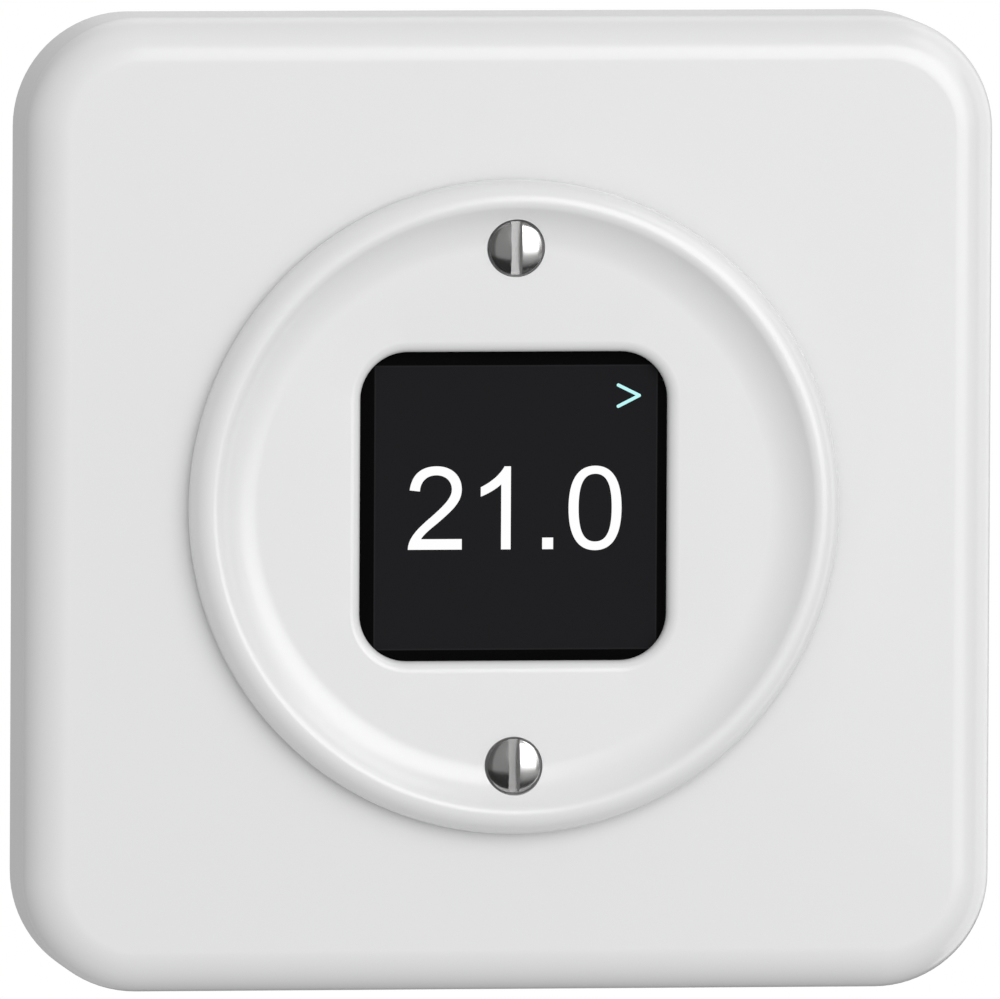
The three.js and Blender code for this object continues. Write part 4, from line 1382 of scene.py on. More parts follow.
@dataclass
class Display:
    """The display's cover glass and the lit reading on it."""

    glass_corner: float = 1.5
    glass_ease: float = 0.15
    proud: float = 0.012
    depth: float = 0.008
    arrow_points: tuple[Point, ...] = ((9.17, 10.62), (11.04, 9.70), (9.17, 8.75))
    arrow_width: float = 0.29
    reading_right: float = 0.18
    stroke_grow: float = -0.02

    def build(self) -> None:
        """Builds the glass and the reading."""
        rear, front = levels("display_glass")
        (left, right), (low, high) = spans("display_glass")
        ease = self.glass_ease
        glass = Solid.slab(
            right - left, high - low, self.glass_corner, rear, front, front=ease, rear=ease
        )
        glass.piece("cover_glass_pane", Finishes.glass, "housing", "cover_glass", ["display_glass"])
        level = front + self.proud
        reading = {"two": (TWO,), "one": (ONE,), "point": (POINT,), "zero": ZERO}
        for name, outlines in reading.items():
            glyph = Solid.drawn(outlines, self.depth, self.stroke_grow)
            glyph.move(self.reading_right, 0.0, level)
            glyph.piece(f"reading_{name}", Finishes.digits, "housing", "display")
        self.arrow(level).piece("reading_arrow", Finishes.arrow, "housing", "display")

    def arrow(self, level: float) -> Solid:
        """The small arrow in the corner of the display, two round-ended strokes.

        Args:
            level: The level of its middle.

        Returns:
            The arrow.
        """
        half = self.depth / 2
        strokes = [
            Solid.stroke(start, end, self.arrow_width, level - half, level + half)
            for start, end in zip(self.arrow_points, self.arrow_points[1:])
        ]
        return strokes[0].join(strokes[1]).move(self.reading_right, 0.0, 0.0)


# ---- Cover screws -------------------------------------------------------------------------------


@dataclass
class CoverScrews:
    """The two raised countersunk screws that hold the disc, with their slots upright."""

    head: float = 4.72
    dome: float = 0.73
    cone: float = 0.65
    edge: float = 0.85
    dome_end: float = 0.935
    slot_width: float = 0.98
    slot_depth: float = 0.95
    shank: float = 2.9
    rim_level: float = 13.8
    dome_steps: int = 16
    thread_pitch: float = 0.5
    thread_depth: float = 0.18
    thread_crest: Point = (0.4, 0.5)
    thread_foot: float = 0.9
    thread_end: float = 0.4
    tip_ease: float = 0.2
    relief: float = 0.2

    def build(self) -> None:
        """Builds both screws."""
        for place in ("top", "bottom"):
            node = f"cover_screw_{place}"
            screw = self.screw(levels(node)[0]).move(*middle_of(node), 0.0)
            name = f"slotted_screw_{place}"
            screw.piece(name, Finishes.nickel, node, "nickel", [node], ease=0.03)

    def screw(self, tip: float) -> Solid:
        """One screw, on the origin.

        Args:
            tip: The level of its tip.

        Returns:
            The screw.
        """
        head, shank, rim = self.head / 2, self.shank / 2, self.rim_level
        seat = rim - self.edge
        neck = seat - self.cone
        core, pitch = shank - self.thread_depth, self.thread_pitch
        profile = [(0.0, tip), (core - self.tip_ease, tip)]
        level = tip + self.tip_ease
        while level + pitch < neck - self.thread_end:
            profile.append((core, level))
            profile += [(shank, level + pitch * share) for share in self.thread_crest]
            profile.append((core, level + pitch * self.thread_foot))
            level += pitch
        profile += [(core, neck - self.relief), (core, neck), (head, seat)]
        start, steps, wide = math.acos(self.dome_end), self.dome_steps, head / self.dome_end
        turns = [start + (math.pi / 2 - start) * i / steps for i in range(steps)]
        profile += [(wide * math.cos(a), rim + self.dome * math.sin(a)) for a in turns]
        top = rim + self.dome
        blank = Solid.turned([*profile, (0.0, top)], steps=72)
        half, reach = self.slot_width / 2, head + PAST
        slot = Solid.block((-half, -reach, top - self.slot_depth), (half, reach, top + PAST))
        return blank.cut(slot)


# ---- Mounting strap -----------------------------------------------------------------------------


@dataclass
class MountingStrap:
    """The square steel strap: box screws go through its long and round holes."""

    corner: float = 4.0
    edge: float = 0.2
    opening: float = 50.6
    opening_corner: float = 6.3
    box_screw_spacing: float = 60.0
    slot_width: float = 4.2
    slot_length: float = 8.0
    corner_hole: float = 4.2
    corner_inset: float = 5.0
    stake_hole: float = 3.2
    stake_x: float = 30.0
    stake_y: float = 13.0

    def build(self) -> None:
        """Builds the strap."""
        rear, front = levels("mounting_strap")
        (left, right), _ = spans("mounting_strap")
        width = right - left
        sheet = Solid.slab(
            width, width, self.corner, rear, front, steps=12, front=self.edge, rear=self.edge
        )
        low, high, reach = rear - PAST, front + PAST, self.box_screw_spacing / 2
        cuts = [Solid.slab(self.opening, self.opening, self.opening_corner, low, high, steps=12)]
        slot, length = self.slot_width, self.slot_length
        for side in (-1, 1):
            centre = (side * reach, 0.0)
            cuts.append(Solid.slab(slot, length, slot * ROUND_END, low, high, centre, steps=12))
            cuts.append(Solid.bar(slot, low, high, (0.0, side * reach)))
            for y in (-self.stake_y, self.stake_y):
                stake = (side * self.stake_x, y)
                cuts.append(Solid.bar(self.stake_hole, low, high, stake, steps=32))
        for centre in corners(width / 2 - self.corner_inset):
            cuts.append(Solid.bar(self.corner_hole, low, high, centre))
        sheet.cut(*cuts)
        nodes = ["mounting_strap"]
        sheet.piece("strap_plate", Finishes.strap, "housing", "steel", nodes, ease=0.12)


# ---- Carrier ------------------------------------------------------------------------------------


@dataclass
class Carrier:
    """The front part of the insert, which holds the display tray in front of the boards."""

    width: float = 54.0
    corner: float = 8.0
    edge: float = 0.6
    inner: float = 50.4
    inner_corner: float = 6.2
    ceiling: float = 6.2
    screw_height: float = 22.85
    boss: float = 6.9
    boss_low: float = 4.1
    insert_bore: float = 4.3
    column_offset: float = 20.5
    column: float = 5.6
    column_low: float = 5.4
    pilot: float = 2.5
    pilot_depth: float = 2.3
    lug_length: float = 6.0
    lug_width: float = 6.0
    lug_thickness: float = 2.0
    lug_offset: float = 13.0
    stake: float = 2.8
    tray_opening: float = 31.3
    flex_slot_width: float = 13.0
    flex_slot_depth: float = 2.8
    sensor_hole: float = 3.0
    sensor_place: Point = (-11.0, -20.8)
    strap_gap: float = 0.1
    rear_edge: float = 0.2
    root: float = 0.5
    tray_corner: float = 1.5
    lug_root: float = 0.9
    lug_edge: float = 0.3
    stake_low: float = 0.1

    def build(self) -> None:
        """Builds the carrier."""
        _, front = levels("insert_carrier")
        rear = levels("mounting_strap")[1] + self.strap_gap
        width, inner = self.width, self.inner
        tub = Solid.slab(
            width, width, self.corner, rear, front, steps=12, front=self.edge, rear=self.rear_edge
        )
        tub.cut(Solid.slab(inner, inner, self.inner_corner, rear - PAST, self.ceiling, steps=10))
        fixed = self.ceiling + self.root
        low, high = self.ceiling - PAST, front + PAST
        joined, cuts = [], []
        for side in (-1, 1):
            centre = (0.0, side * self.screw_height)
            joined.append(Solid.bar(self.boss, self.boss_low, fixed, centre))
            cuts.append(Solid.bar(self.insert_bore, 0.0, high, centre))
            joined += self.lugs(side, rear)
        foot, top = self.column_low, self.column_low + self.pilot_depth
        for centre in corners(self.column_offset):
            joined.append(Solid.bar(self.column, foot, fixed, centre))
            cuts.append(Solid.bar(self.pilot, foot - PAST, top, centre, steps=32))
        tray, half = self.tray_opening, self.flex_slot_width / 2
        cuts.append(Solid.slab(tray, tray, self.tray_corner, low, high))
        flex_end = -tray / 2 - self.flex_slot_depth
        cuts.append(Solid.block((-half, flex_end, low), (half, 0.0, high)))
        cuts.append(Solid.bar(self.sensor_hole, low, high, self.sensor_place, steps=32))
        tub.join(*joined).cut(*cuts)
        tub.piece(
            "carrier_frame", Finishes.grey, "housing", "grey_plastic", ["insert_carrier"], ease=0.1
        )

    def lugs(self, side: int, rear: float) -> list[Solid]:
        """The two lugs on one side, with their heat-staked pins.

        Args:
            side: 1 for the right, -1 for the left.
            rear: The carrier's rear level.

        Returns:
            The solids to join.
        """
        made = []
        wall, half = self.width / 2, self.lug_width / 2
        low, high = sorted((side * (wall - self.lug_root), side * (wall + self.lug_length)))
        front = rear + self.lug_thickness
        for y in (-self.lug_offset, self.lug_offset):
            made.append(Solid.block((low, y - half, rear), (high, y + half, front), self.lug_edge))
            pin = (side * (wall + self.lug_length / 2), y)
            made.append(Solid.bar(self.stake, self.stake_low, rear + PAST, pin, steps=32))
        return made


# ---- Insert body --------------------------------------------------------------------------------


@dataclass
class InsertBody:
    """The housing in the wall box, with sunk screws and numbered terminals at its rear."""

    width: float = 50.0
    corner: float = 6.0
    wall: float = 2.0
    edge: float = 0.8
    column_offset: float = 20.5
    column: float = 5.6
    shoulder: float = 8.8
    screw_hole: float = 2.8
    sink: float = 4.8
    sink_depth: float = 2.0
    block_gap: float = 0.2
    label_low: float = -16.1
    label_high: float = -12.5
    label_depth: float = 0.3
    number_height: float = 2.6
    number_depth: float = 0.2
    field_width: float = 31.0
    field_height: float = 17.0
    field_middle: float = -2.5
    line: float = 0.4
    line_depth: float = 0.15
    seam: float = 0.4
    seam_depth: float = 0.3
    seam_below: float = 3.0
    pin_mark: float = 3.0
    pin_depth: float = 0.12
    pin_places: tuple[Point, ...] = ((-12.0, 13.0), (12.0, 13.0), (-21.5, 0.0), (21.5, 0.0))
    front_edge: float = 0.2
    board_gap: float = 0.1
    field_corner: float = 1.0
    label_corner: float = 0.6
    diagram_margin: float = 0.8
    supply_rise: float = 4.0
    supply_top: float = 8.5
    supply_side: float = 1.5
    contact_rise: float = 5.5
    pivot_rise: float = 9.5
    pivot_lead: float = 2.5
    blade_lean: float = 0.75
    line_root: float = 0.02

    def build(self) -> None:
        """Builds the housing, its terminal numbers and its wiring diagram."""
        rear, front = levels("insert_body")
        power_board = levels("power_board")[0]
        floor, out, label_floor = rear + self.wall, rear - PAST, rear + self.label_depth
        body, trim = self.blank(rear, front), self.blank(rear, front)
        inner = self.width - 2 * self.wall
        body.cut(Solid.slab(inner, inner, self.corner - self.wall, floor, front + PAST, steps=10))
        joined, cuts = [], []
        for centre in corners(self.column_offset):
            joined.append(Solid.bar(self.column, floor - PAST, front, centre))
            shoulder = power_board - self.board_gap
            joined.append(Solid.bar(self.shoulder, floor - PAST, shoulder, centre))
            cuts.append(Solid.bar(self.screw_hole, out, front + PAST, centre, steps=32))
            cuts.append(Solid.bar(self.sink, out, rear + self.sink_depth, centre))
        for place in self.pin_places:
            cuts.append(Solid.bar(self.pin_mark, out, rear + self.pin_depth, place, steps=40))
        field = (self.field_width, self.field_height, self.field_corner)
        cuts.append(Solid.slab(*field, out, label_floor, (0.0, self.field_middle)))
        cuts.append(self.groove(front - self.seam_below))
        (left, right), (low, high) = spans("terminal_block")
        gap = self.block_gap
        low, high = low - PAST, high + gap
        cuts.append(Solid.block((left - gap, low, out), (right + gap, high, power_board)))
        middle = (self.label_low + self.label_high) / 2
        label = (right - left, self.label_high - self.label_low, self.label_corner)
        cuts.append(Solid.slab(*label, out, label_floor, (0.0, middle)))
        body.join(*joined).keep(trim).cut(*cuts)
        body.piece(
            "insert_housing", Finishes.grey, "housing", "grey_plastic", ["insert_body"], ease=0.08
        )
        self.numbers(label_floor, middle)
        self.diagram(label_floor)

    def blank(self, rear: float, front: float) -> Solid:
        """The housing's outer shape between its rear and front levels."""
        width, edge = self.width, self.edge
        return Solid.slab(
            width, width, self.corner, rear, front, steps=12, front=self.front_edge, rear=edge
        )

    def groove(self, seam: float) -> Solid:
        """The shallow groove round the four sides.

        Args:
            seam: Its front level.

        Returns:
            The solid to cut away.
        """
        outer, core = self.width + 2 * PAST, self.width - 2 * self.seam_depth
        corner = self.corner - self.seam_depth
        ring = Solid.slab(outer, outer, self.corner, seam - self.seam, seam)
        return ring.cut(Solid.slab(core, core, corner, seam - PAST, seam + PAST, steps=12))

    def diagram(self, level: float) -> None:
        """The raised wiring diagram over the terminals: the supply, and a change-over contact.

        Args:
            level: The level that it stands on.
        """
        one, two, three, four, five = (middle_of(f"terminal_screw_{i}")[0] for i in TERMINALS)
        foot = self.field_middle - self.field_height / 2 + self.diagram_margin
        supply, top = foot + self.supply_rise, foot + self.supply_top
        pivot, contact = foot + self.pivot_rise, foot + self.contact_rise
        lines = [((x, foot), (x, supply)) for x in (one, two)]
        left, right = min(one, two) - self.supply_side, max(one, two) + self.supply_side
        lines += [((left, y), (right, y)) for y in (supply, top)]
        lines += [((x, supply), (x, top)) for x in (left, right)]
        lines += [((x, foot), (x, contact)) for x in (three, five)]
        lead = self.pivot_lead
        lines += [((four, foot), (four, foot + lead)), ((four, foot + lead), (four, supply))]
        blade = three * self.blade_lean + four * (1 - self.blade_lean)
        lines += [((four, pivot), (four, pivot + lead)), ((four, pivot), (blade, contact))]
        low, high = level - self.line_depth, level + self.line_root
        strokes = [Solid.stroke(start, end, self.line, low, high) for start, end in lines]
        made = strokes[0].join(*strokes[1:])
        made.piece("wiring_diagram", Finishes.dark, "housing", "dark_plastic")

    def numbers(self, level: float, height: float) -> None:
        """The raised numbers of the terminals, read from behind.

        Args:
            level: The level that they stand on.
            height: Their middle's y.
        """
        for i in TERMINALS:
            x, _ = middle_of(f"terminal_screw_{i}")
            number = Solid.number(i, self.number_height, self.number_depth).turn(180, Axis.Y)
            number.move(x, height, level - self.number_depth / 2)
            number.piece(f"terminal_number_{i}", Finishes.dark, "housing", "dark_plastic")


# ---- Screws and terminals -----------------------------------------------------------------------


@dataclass
class CaseScrews:
    """The four long screws that hold the housing to the carrier from behind."""

    head: float = 4.4
    head_height: float = 1.7
    shank: float = 2.4
    dome: float = 0.45
    slot_width: float = 0.7
    slot_depth: float = 0.8
    tip_length: float = 0.6
    dome_steps: int = 8

    def build(self) -> None:
        """Builds the screws."""
        for i in range(1, 5):
            node = f"housing_screw_{i}"
            screw = self.screw(*levels(node)).move(*middle_of(node), 0.0)
            screw.piece(f"case_screw_{i}", Finishes.steel, "housing", "steel", [node], ease=0.03)

    def screw(self, rear: float, tip: float) -> Solid:
        """One screw, on the origin, with its head at the rear.

        Args:
            rear: The level of its head's top.
            tip: The level of its tip.

        Returns:
            The screw.
        """
        head, shank = self.head / 2, self.shank / 2
        under, dome = rear + self.head_height, self.dome
        angles = quarter(self.dome_steps)[1:]
        rise = [(head * math.sin(a), rear + dome * (1 - math.cos(a))) for a in angles]
        profile = [(0.0, rear), *rise, (head, under), (shank, under)]
        profile += [(shank, tip - self.tip_length), (0.0, tip)]
        half, reach = self.slot_width / 2, head + PAST
        slot = Solid.block((-reach, -half, rear - PAST), (reach, half, rear + self.slot_depth))
        return Solid.turned(profile, steps=48).cut(slot)


@dataclass
class Terminals:
    """The row of screw terminals: a moulded block, the clamping screws and their rising cages."""

    head: float = 4.4
    head_height: float = 2.0
    head_edge: float = 0.25
    head_gap: float = 0.15
    head_well: float = 2.9
    shank: float = 2.5
    shank_gap: float = 0.6
    thread_start: float = 0.4
    thread_end: float = 0.2
    thread_pitch: float = 0.45
    thread_depth: float = 0.14
    tip_ease: float = 0.2
    slot_width: float = 0.8
    slot_depth: float = 1.0
    ledge: float = 0.8
    cage_gap: float = 0.3
    cage_wall: float = 0.7
    cage_edge: float = 0.12
    window_edge: float = 0.15
    collar: float = 2.0
    collar_past: float = 0.2
    bore_gap: float = 0.1
    jaw: float = 1.0
    bar_rear: float = 8.7
    bar_front: float = 9.7
    bar_gap: float = 0.15
    bar_play: float = 0.1
    wire_room: float = 3.0
    wire_funnel: float = 0.5
    funnel_past: float = 0.01
    funnel_corners: Point = (0.3, 0.2)
    block_edge: float = 0.25

    def build(self) -> None:
        """Builds the block, the screws and the cages."""
        self.block()
        for i in TERMINALS:
            self.screw(i)
            self.cage(i)

    def block(self) -> None:
        """Builds the moulded block."""
        rear, front = levels("terminal_block")
        (left, right), (low, high) = spans("terminal_block")
        body = Solid.block((left, low, rear), (right, high, front), self.block_edge)
        middle = (low + high) / 2
        cuts = []
        for i in TERMINALS:
            cuts += self.chamber(i, rear, front, middle)
            cuts += self.wire_opening(i, rear, low, middle)
            (bar_left, bar_right), _ = spans(f"terminal_bar_{i}")
            gap, play = self.bar_gap, self.bar_play
            behind = (bar_left - gap, middle, rear + self.bar_rear - play)
            before = (bar_right + gap, high + PAST, rear + self.bar_front + play)
            cuts.append(Solid.block(behind, before))
        body.cut(*cuts)
        body.piece(
            "terminal_housing", Finishes.block, "housing", "dark_plastic", ["terminal_block"]
        )

    def chamber(self, i: int, rear: float, front: float, middle: float) -> list[Solid]:
        """The room for one cage and its screw.

        Args:
            i: Their number.
            rear: The block's rear level.
            front: The block's front level.
            middle: The y of the screws.

        Returns:
            The solids to cut away.
        """
        (left, right), (low, high) = spans(f"terminal_cage_{i}")
        centre, gap = ((left + right) / 2, middle), self.cage_gap
        floor = rear + self.head_well + self.ledge
        well = self.head + 2 * self.head_gap
        return [
            Solid.block((left - gap, low - gap, floor), (right + gap, high + gap, front + PAST)),
            Solid.bar(self.shank + self.shank_gap, rear - PAST, floor + PAST, centre, steps=32),
            Solid.bar(well, rear - PAST, rear + self.head_well, centre),
        ]

    def wire_opening(self, i: int, rear: float, low: float, middle: float) -> list[Solid]:
        """The opening for one wire, with its funnel.

        Args:
            i: The terminal's number.
            rear: The block's rear level.
            low: The block's lower side.
            middle: The y of the screws.

        Returns:
            The solids to cut away.
        """
        (left, right), _ = spans(f"terminal_cage_{i}")
        x, half = (left + right) / 2, (right - left) / 2 - self.cage_wall
        bottom, room, funnel = rear + self.bar_front, self.wire_room, self.wire_funnel
        top = bottom + room
        outer, inner = self.funnel_corners
        mouth = [
            Section(2 * (half + funnel), room + 2 * funnel, outer, -self.funnel_past),
            Section(2 * half, room, inner, funnel),
        ]
        flare = Solid.stack(mouth, steps=3).turn(-90, Axis.X)
        return [
            Solid.block((x - half, low - PAST, bottom), (x + half, middle, top)),
            flare.move(x, low, (bottom + top) / 2),
        ]

    def screw(self, i: int) -> None:
        """Builds one clamping screw.

        Args:
            i: Its number.
        """
        node = f"terminal_screw_{i}"
        rear, tip = levels(node)
        head, shank, ease = self.head / 2, self.shank / 2, self.head_edge
        under, core = rear + self.head_height, shank - self.thread_depth
        profile = [(0.0, rear), (head - ease, rear), (head, rear + ease)]
        profile += [(head, under), (shank, under)]
        level, pitch = under + self.thread_start, self.thread_pitch
        while level + pitch < tip - self.thread_end:
            profile += [(shank, level), (core, level + pitch / 2), (shank, level + pitch)]
            level += pitch
        profile += [(shank - self.tip_ease, tip), (0.0, tip)]
        half, reach = self.slot_width / 2, head + PAST
        slot = Solid.block((-half, -reach, rear - PAST), (half, reach, rear + self.slot_depth))
        screw = Solid.turned(profile, steps=48).cut(slot).move(*middle_of(node), 0.0)
        screw.piece(f"clamp_screw_{i}", Finishes.screw_steel, node, "steel", [node], ease=0.03)

    def cage(self, i: int) -> None:
        """Builds one rising cage.

        Args:
            i: Its number.
        """
        node = f"terminal_cage_{i}"
        rear, front = levels(node)
        (left, right), (low, high) = spans(node)
        frame = Solid.block((left, low, rear), (right, high, front), self.cage_edge)
        wall, collar = self.cage_wall, rear + self.collar
        behind = (left + wall, low - PAST, collar)
        before = (right - wall, high + PAST, front - self.jaw)
        window = Solid.block(behind, before, self.window_edge)
        width, top = self.shank + self.bore_gap, collar + self.collar_past
        frame.cut(window, Solid.bar(width, rear - PAST, top, middle_of(node), steps=32))
        frame.piece(f"clamp_cage_{i}", Finishes.steel, node, "steel", [node], sharp=25.0)


# ---- Carried-over nodes -------------------------------------------------------------------------


DRESSED: dict[Finish, tuple[str, ...]] = {
    Finishes.foam: ("display_tape",),
    Finishes.cell: ("touch_film", "display_panel"),
    Finishes.dark: (
        "display_tray", "flex_connector", "processor", "board_header", "board_socket",
        "smoothing_capacitor", "fuse",
    ),
    Finishes.flex: ("display_flex",),
    Finishes.brass: ("threaded_insert_top", "threaded_insert_bottom"),
    Finishes.board: ("control_board", "power_board"),
    Finishes.bead: ("room_sensor",),
    Finishes.copper: (*(f"terminal_bar_{i}" for i in TERMINALS), "relay_blade"),
    Finishes.case: ("relay_base", "relay_cover"),
    Finishes.steel: ("relay_yoke", "relay_core", "relay_armature"),
    Finishes.wire: ("relay_coil", "transformer_winding"),
    Finishes.contact: ("relay_contact_open", "relay_contact_closed"),
    Finishes.ferrite: ("transformer_core",),
    Finishes.epoxy: ("film_capacitor", "varistor"),
}


def dress(frame: dict[str, Any]) -> None:
    """Gives the nodes that are carried over their finishes.
    """
    for finish, nodes in DRESSED.items():
        for name in nodes:
            materials = frame["nodes"][name].data.materials
            materials.clear()
            materials.append(finish.material())
            LOG.info("node %s in %s", name, finish.name)


# ---- Studio -------------------------------------------------------------------------------------


def direction(azimuth: float, elevation: float) -> Vector:
    """The unit vector at these degrees from the front, towards the right, and above the horizon."""
    a, e = math.radians(azimuth), math.radians(elevation)
    return Vector((math.sin(a) * math.cos(e), -math.cos(a) * math.cos(e), math.sin(e)))


def facing(azimuth: float, elevation: float) -> Matrix:
    """The turn that makes -Z look from that direction towards the thermostat, with Y up."""
    return (-direction(azimuth, elevation)).to_track_quat("-Z", "Y").to_matrix().to_4x4()


@dataclass(frozen=True)
class Glow(Finish):
    """Light of a reflector card, which grows from its lower to its upper edge."""

    low: float
    high: float
    start: float
    end: float

    def build(self, shader: Shader) -> None:
        """Builds the light.

        Args:
            shader: An empty node tree.
        """
        _, _, height = shader.split(shader.place())
        strength = height.step(self.start, self.end) * (self.high - self.low) + self.low
        shader.end(shader.node("ShaderNodeEmission", inputs={"Strength": strength}).outputs[0])


@dataclass
class Card:
    """A reflector card bent round the thermostat, which only shows in reflections."""

    name: str
    azimuths: Point
    elevations: Point
    low: float
    high: float | None = None
    fade: Point | None = None
    distance: float = 1.2

    def build(self) -> None:
        """Builds the card."""
        bm = bmesh.new()
        bmesh.ops.create_grid(bm, x_segments=16, y_segments=10, size=0.5)
        for vert in bm.verts:
            azimuth = self.azimuths[0] + (self.azimuths[1] - self.azimuths[0]) * (vert.co.x + 0.5)
            rise = (self.elevations[1] - self.elevations[0]) * (vert.co.y + 0.5)
            vert.co = direction(azimuth, self.elevations[0] + rise) * self.distance
        mesh = bpy.data.meshes.new(self.name)
        bm.to_mesh(mesh)
        bm.free()
        start, end = (
            self.distance * math.sin(math.radians(e)) for e in self.fade or self.elevations
        )
        high = self.low if self.high is None else self.high
        glow = Glow(self.name, self.low, high, start, end).material()
        glow.cycles.emission_sampling = "NONE"
        mesh.materials.append(glow)
        card = linked(self.name, mesh)
        for ray in ("camera", "diffuse", "shadow", "transmission", "volume_scatter"):
            setattr(card, f"visible_{ray}", False)


@dataclass(frozen=True)
class PaleFloor(Finish):
    """Matt pale paper, which fades out round the object and is clear from below."""

    colour: Colour
    near: float
    far: float
    fibre_scale: float = 900.0
    fibre_shade: float = 0.985

    def build(self, shader: Shader) -> None:
        """Builds the paper.

        Args:
            shader: An empty node tree.
        """
        place = shader.place()
        x, y, _ = shader.split(place)
        away = ((x * x + y * y) ** 0.5).step(self.near, self.far)
        fibre = shader.noise(place, self.fibre_scale, detail=2.0)
        tone = shader.blend(fibre, shaded(self.colour, self.fibre_shade), self.colour)
        paper = shader.node("ShaderNodeBsdfDiffuse", inputs={"Color": tone})
        clear = shader.node("ShaderNodeBsdfTransparent")
        behind = Value(shader, shader.node("ShaderNodeNewGeometry").outputs["Backfacing"])
        seen = shader.node("ShaderNodeLightPath").outputs["Is Camera Ray"]
        share = (behind + away * Value(shader, seen)).least(1.0)
        mix = shader.node(
            "ShaderNodeMixShader", inputs={0: share, 1: paper.outputs[0], 2: clear.outputs[0]}
        )
        shader.end(mix.outputs[0])


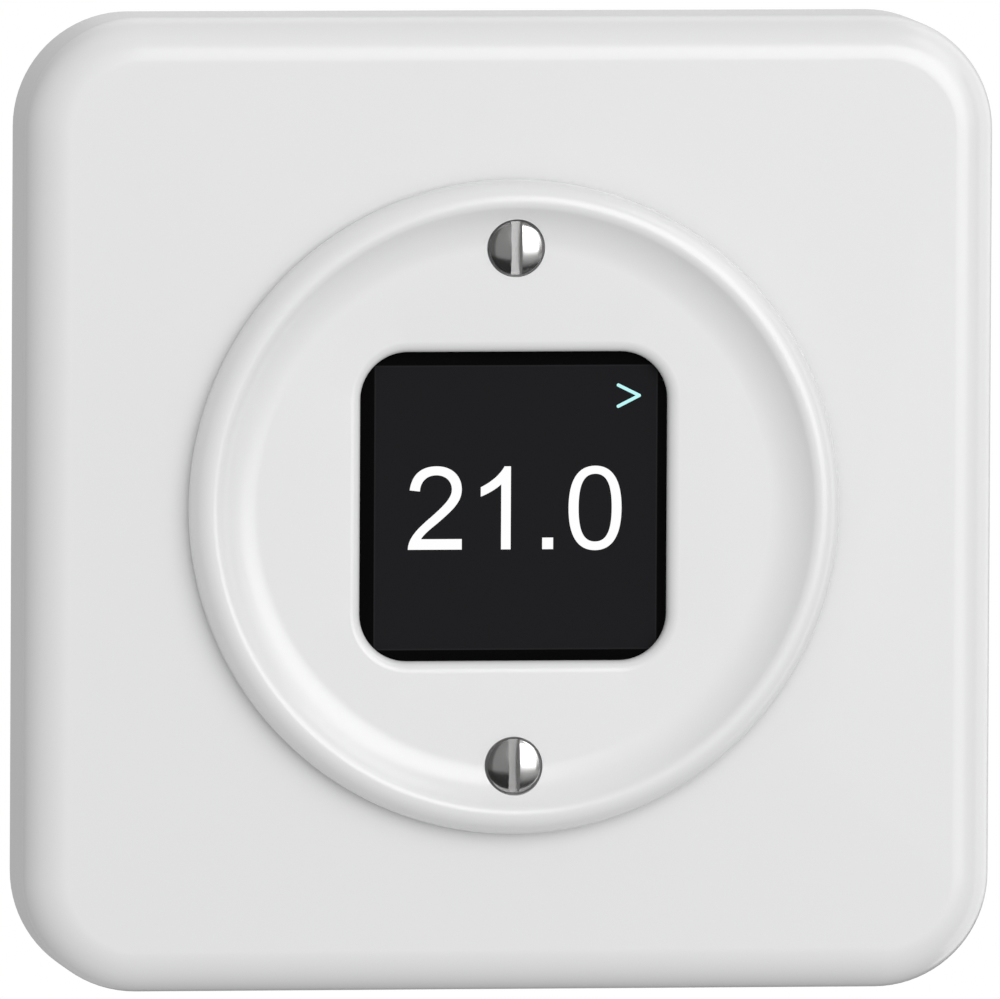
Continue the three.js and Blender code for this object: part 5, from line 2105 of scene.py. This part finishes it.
@dataclass
class Studio:
    """Camera, soft lights, reflector cards, pale floor and white surroundings."""

    camera_azimuth: float = -7.8
    camera_elevation: float = 4.2
    camera_roll: float = 0.29
    camera_distance: float = 3.0
    lens: float = 1221.5
    aim_right: float = 0.56 * MM
    aim_up: float = -0.345 * MM
    key_place: Point = (14.0, 13.0)
    key_distance: float = 1.5
    key_size: float = 1.6
    key_power: float = 15.6
    rear_place: Point = (165.0, 35.0)
    rear_distance: float = 1.6
    rear_size: float = 1.2
    rear_power: float = 10.0
    ambient: float = 0.508
    floor_level: float = -0.10
    floor_width: float = 3.0
    floor_length: float = 1.95
    floor_end: float = 0.45
    floor_tone: Colour = (0.9, 0.9, 0.9)
    floor_near: float = 0.14
    floor_far: float = 0.44

    def build(self) -> None:
        """Builds the studio."""
        self.camera()
        self.surroundings()
        key = self.soft_light(
            "key_light", self.key_place, self.key_distance, self.key_size, self.key_power
        )
        key.visible_glossy = False
        self.soft_light(
            "rear_light", self.rear_place, self.rear_distance, self.rear_size, self.rear_power
        )
        self.floor()
        for card in self.cards():
            card.build()
        bpy.context.scene.view_settings.view_transform = "Standard"

    def camera(self) -> None:
        """Builds the camera."""
        data = bpy.data.cameras.new("camera")
        data.sensor_width = 36.0
        data.lens = self.lens
        camera = linked("camera", data)
        turn = facing(self.camera_azimuth, self.camera_elevation)
        turn = turn @ Matrix.Rotation(math.radians(self.camera_roll), 4, "Z")
        right, up, back = turn.to_3x3().col
        aim = right * self.aim_right + up * self.aim_up
        camera.matrix_world = Matrix.Translation(aim + back * self.camera_distance) @ turn
        bpy.context.scene.camera = camera

    def surroundings(self) -> None:
        """Builds the world: white to look at and in reflections, and a soft light on the object."""
        world = bpy.data.worlds.new("surroundings")
        bpy.context.scene.world = world
        world.use_nodes = True
        shader = Shader(world.node_tree)
        ray = shader.node("ShaderNodeLightPath").outputs
        seen = Value(shader, ray["Is Camera Ray"]) + Value(shader, ray["Is Glossy Ray"])
        seen = (seen + Value(shader, ray["Is Transmission Ray"])).least(1.0)
        strength = seen * (1.0 - self.ambient) + self.ambient
        background = shader.node("ShaderNodeBackground", inputs={"Strength": strength})
        background.inputs["Color"].default_value = (1.0, 1.0, 1.0, 1.0)
        shader.node("ShaderNodeOutputWorld", inputs={"Surface": background.outputs[0]})

    def soft_light(
        self, name: str, place: Point, distance: float, size: float, power: float
    ) -> bpy.types.Object:
        """Builds a square soft box.

        Args:
            name: Its name.
            place: Its angle from the front, towards the right, and above the horizon, in degrees.
            distance: Its distance, in metres.
            size: Its side, in metres.
            power: Its power, in watts.

        Returns:
            The light.
        """
        data = bpy.data.lights.new(name, "AREA")
        data.shape = "SQUARE"
        data.size = size
        data.energy = power
        light = linked(name, data)
        light.matrix_world = Matrix.Translation(direction(*place) * distance) @ facing(*place)
        light.visible_camera = False
        return light

    def floor(self) -> None:
        """Builds the floor below the thermostat, clear of the front view."""
        bm = bmesh.new()
        bmesh.ops.create_grid(bm, x_segments=1, y_segments=1, size=0.5)
        bmesh.ops.scale(bm, vec=(self.floor_width, self.floor_length, 1.0), verts=bm.verts)
        middle = self.floor_end - self.floor_length / 2
        bmesh.ops.translate(bm, vec=(0.0, middle, self.floor_level), verts=bm.verts)
        mesh = bpy.data.meshes.new("floor")
        bm.to_mesh(mesh)
        bm.free()
        paper = PaleFloor("pale_floor", self.floor_tone, self.floor_near, self.floor_far)
        mesh.materials.append(paper.material())
        floor = linked("floor", mesh)
        floor.visible_diffuse = False
        floor.visible_glossy = False

    def cards(self) -> list[Card]:
        """The reflector cards.

        Returns:
            The cards.
        """
        return [
            Card("soft_box", (6, 46), (-12, 37), 0.7, 4.4, (-12, 4)),
            Card("low_right_card", (14, 75), (-45, -12), 0.05, 0.5, (-36, -12)),
            Card("dark_flag", (2, 14), (-12, 3), 0.05, distance=0.9),
            Card("left_card", (-30, 6), (-22, 60), 0.3),
            Card("side_card", (-75, -30), (-22, 60), 0.13),
            Card("low_left_card", (-120, 14), (-60, -15), 0.035, distance=0.45),
            Card("far_left_card", (-150, -75), (-50, 60), 0.1),
            Card("right_card", (46, 66), (-12, 30), 0.3, 2.4, (-12, 30)),
            Card("edge_card", (66, 82), (-12, 30), 0.2),
            Card("high_side_card", (46, 82), (30, 60), 2.6),
            Card("far_right_card", (82, 140), (-45, 15), 1.8),
            Card("high_right_card", (82, 140), (15, 60), 1.6),
            Card("under_right_card", (75, 82), (-45, -12), 0.2),
            Card("high_card", (6, 46), (37, 60), 0.6),
            Card("top_card", (-180, 180), (60, 89), 0.6),
            Card("bottom_card", (-180, 180), (-89, -45), 0.1),
            Card("rear_right_card", (140, 180), (-12, 60), 0.5),
            Card("rear_low_card", (140, 180), (-45, -12), 0.05),
            Card("rear_left_card", (-180, -150), (-45, 60), 0.4),
        ]


# ---- Main ---------------------------------------------------------------------------------------


def main() -> None:
    """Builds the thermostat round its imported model."""
    logging.basicConfig(level=logging.INFO, format="%(name)s: %(message)s")
    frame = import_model()
    dress(frame)
    Studio().build()
    CoverPlate().build()
    CentreDisc().build()
    Display().build()
    CoverScrews().build()
    MountingStrap().build()
    Carrier().build()
    InsertBody().build()
    CaseScrews().build()
    Terminals().build()


if __name__ == "__main__":
    main()
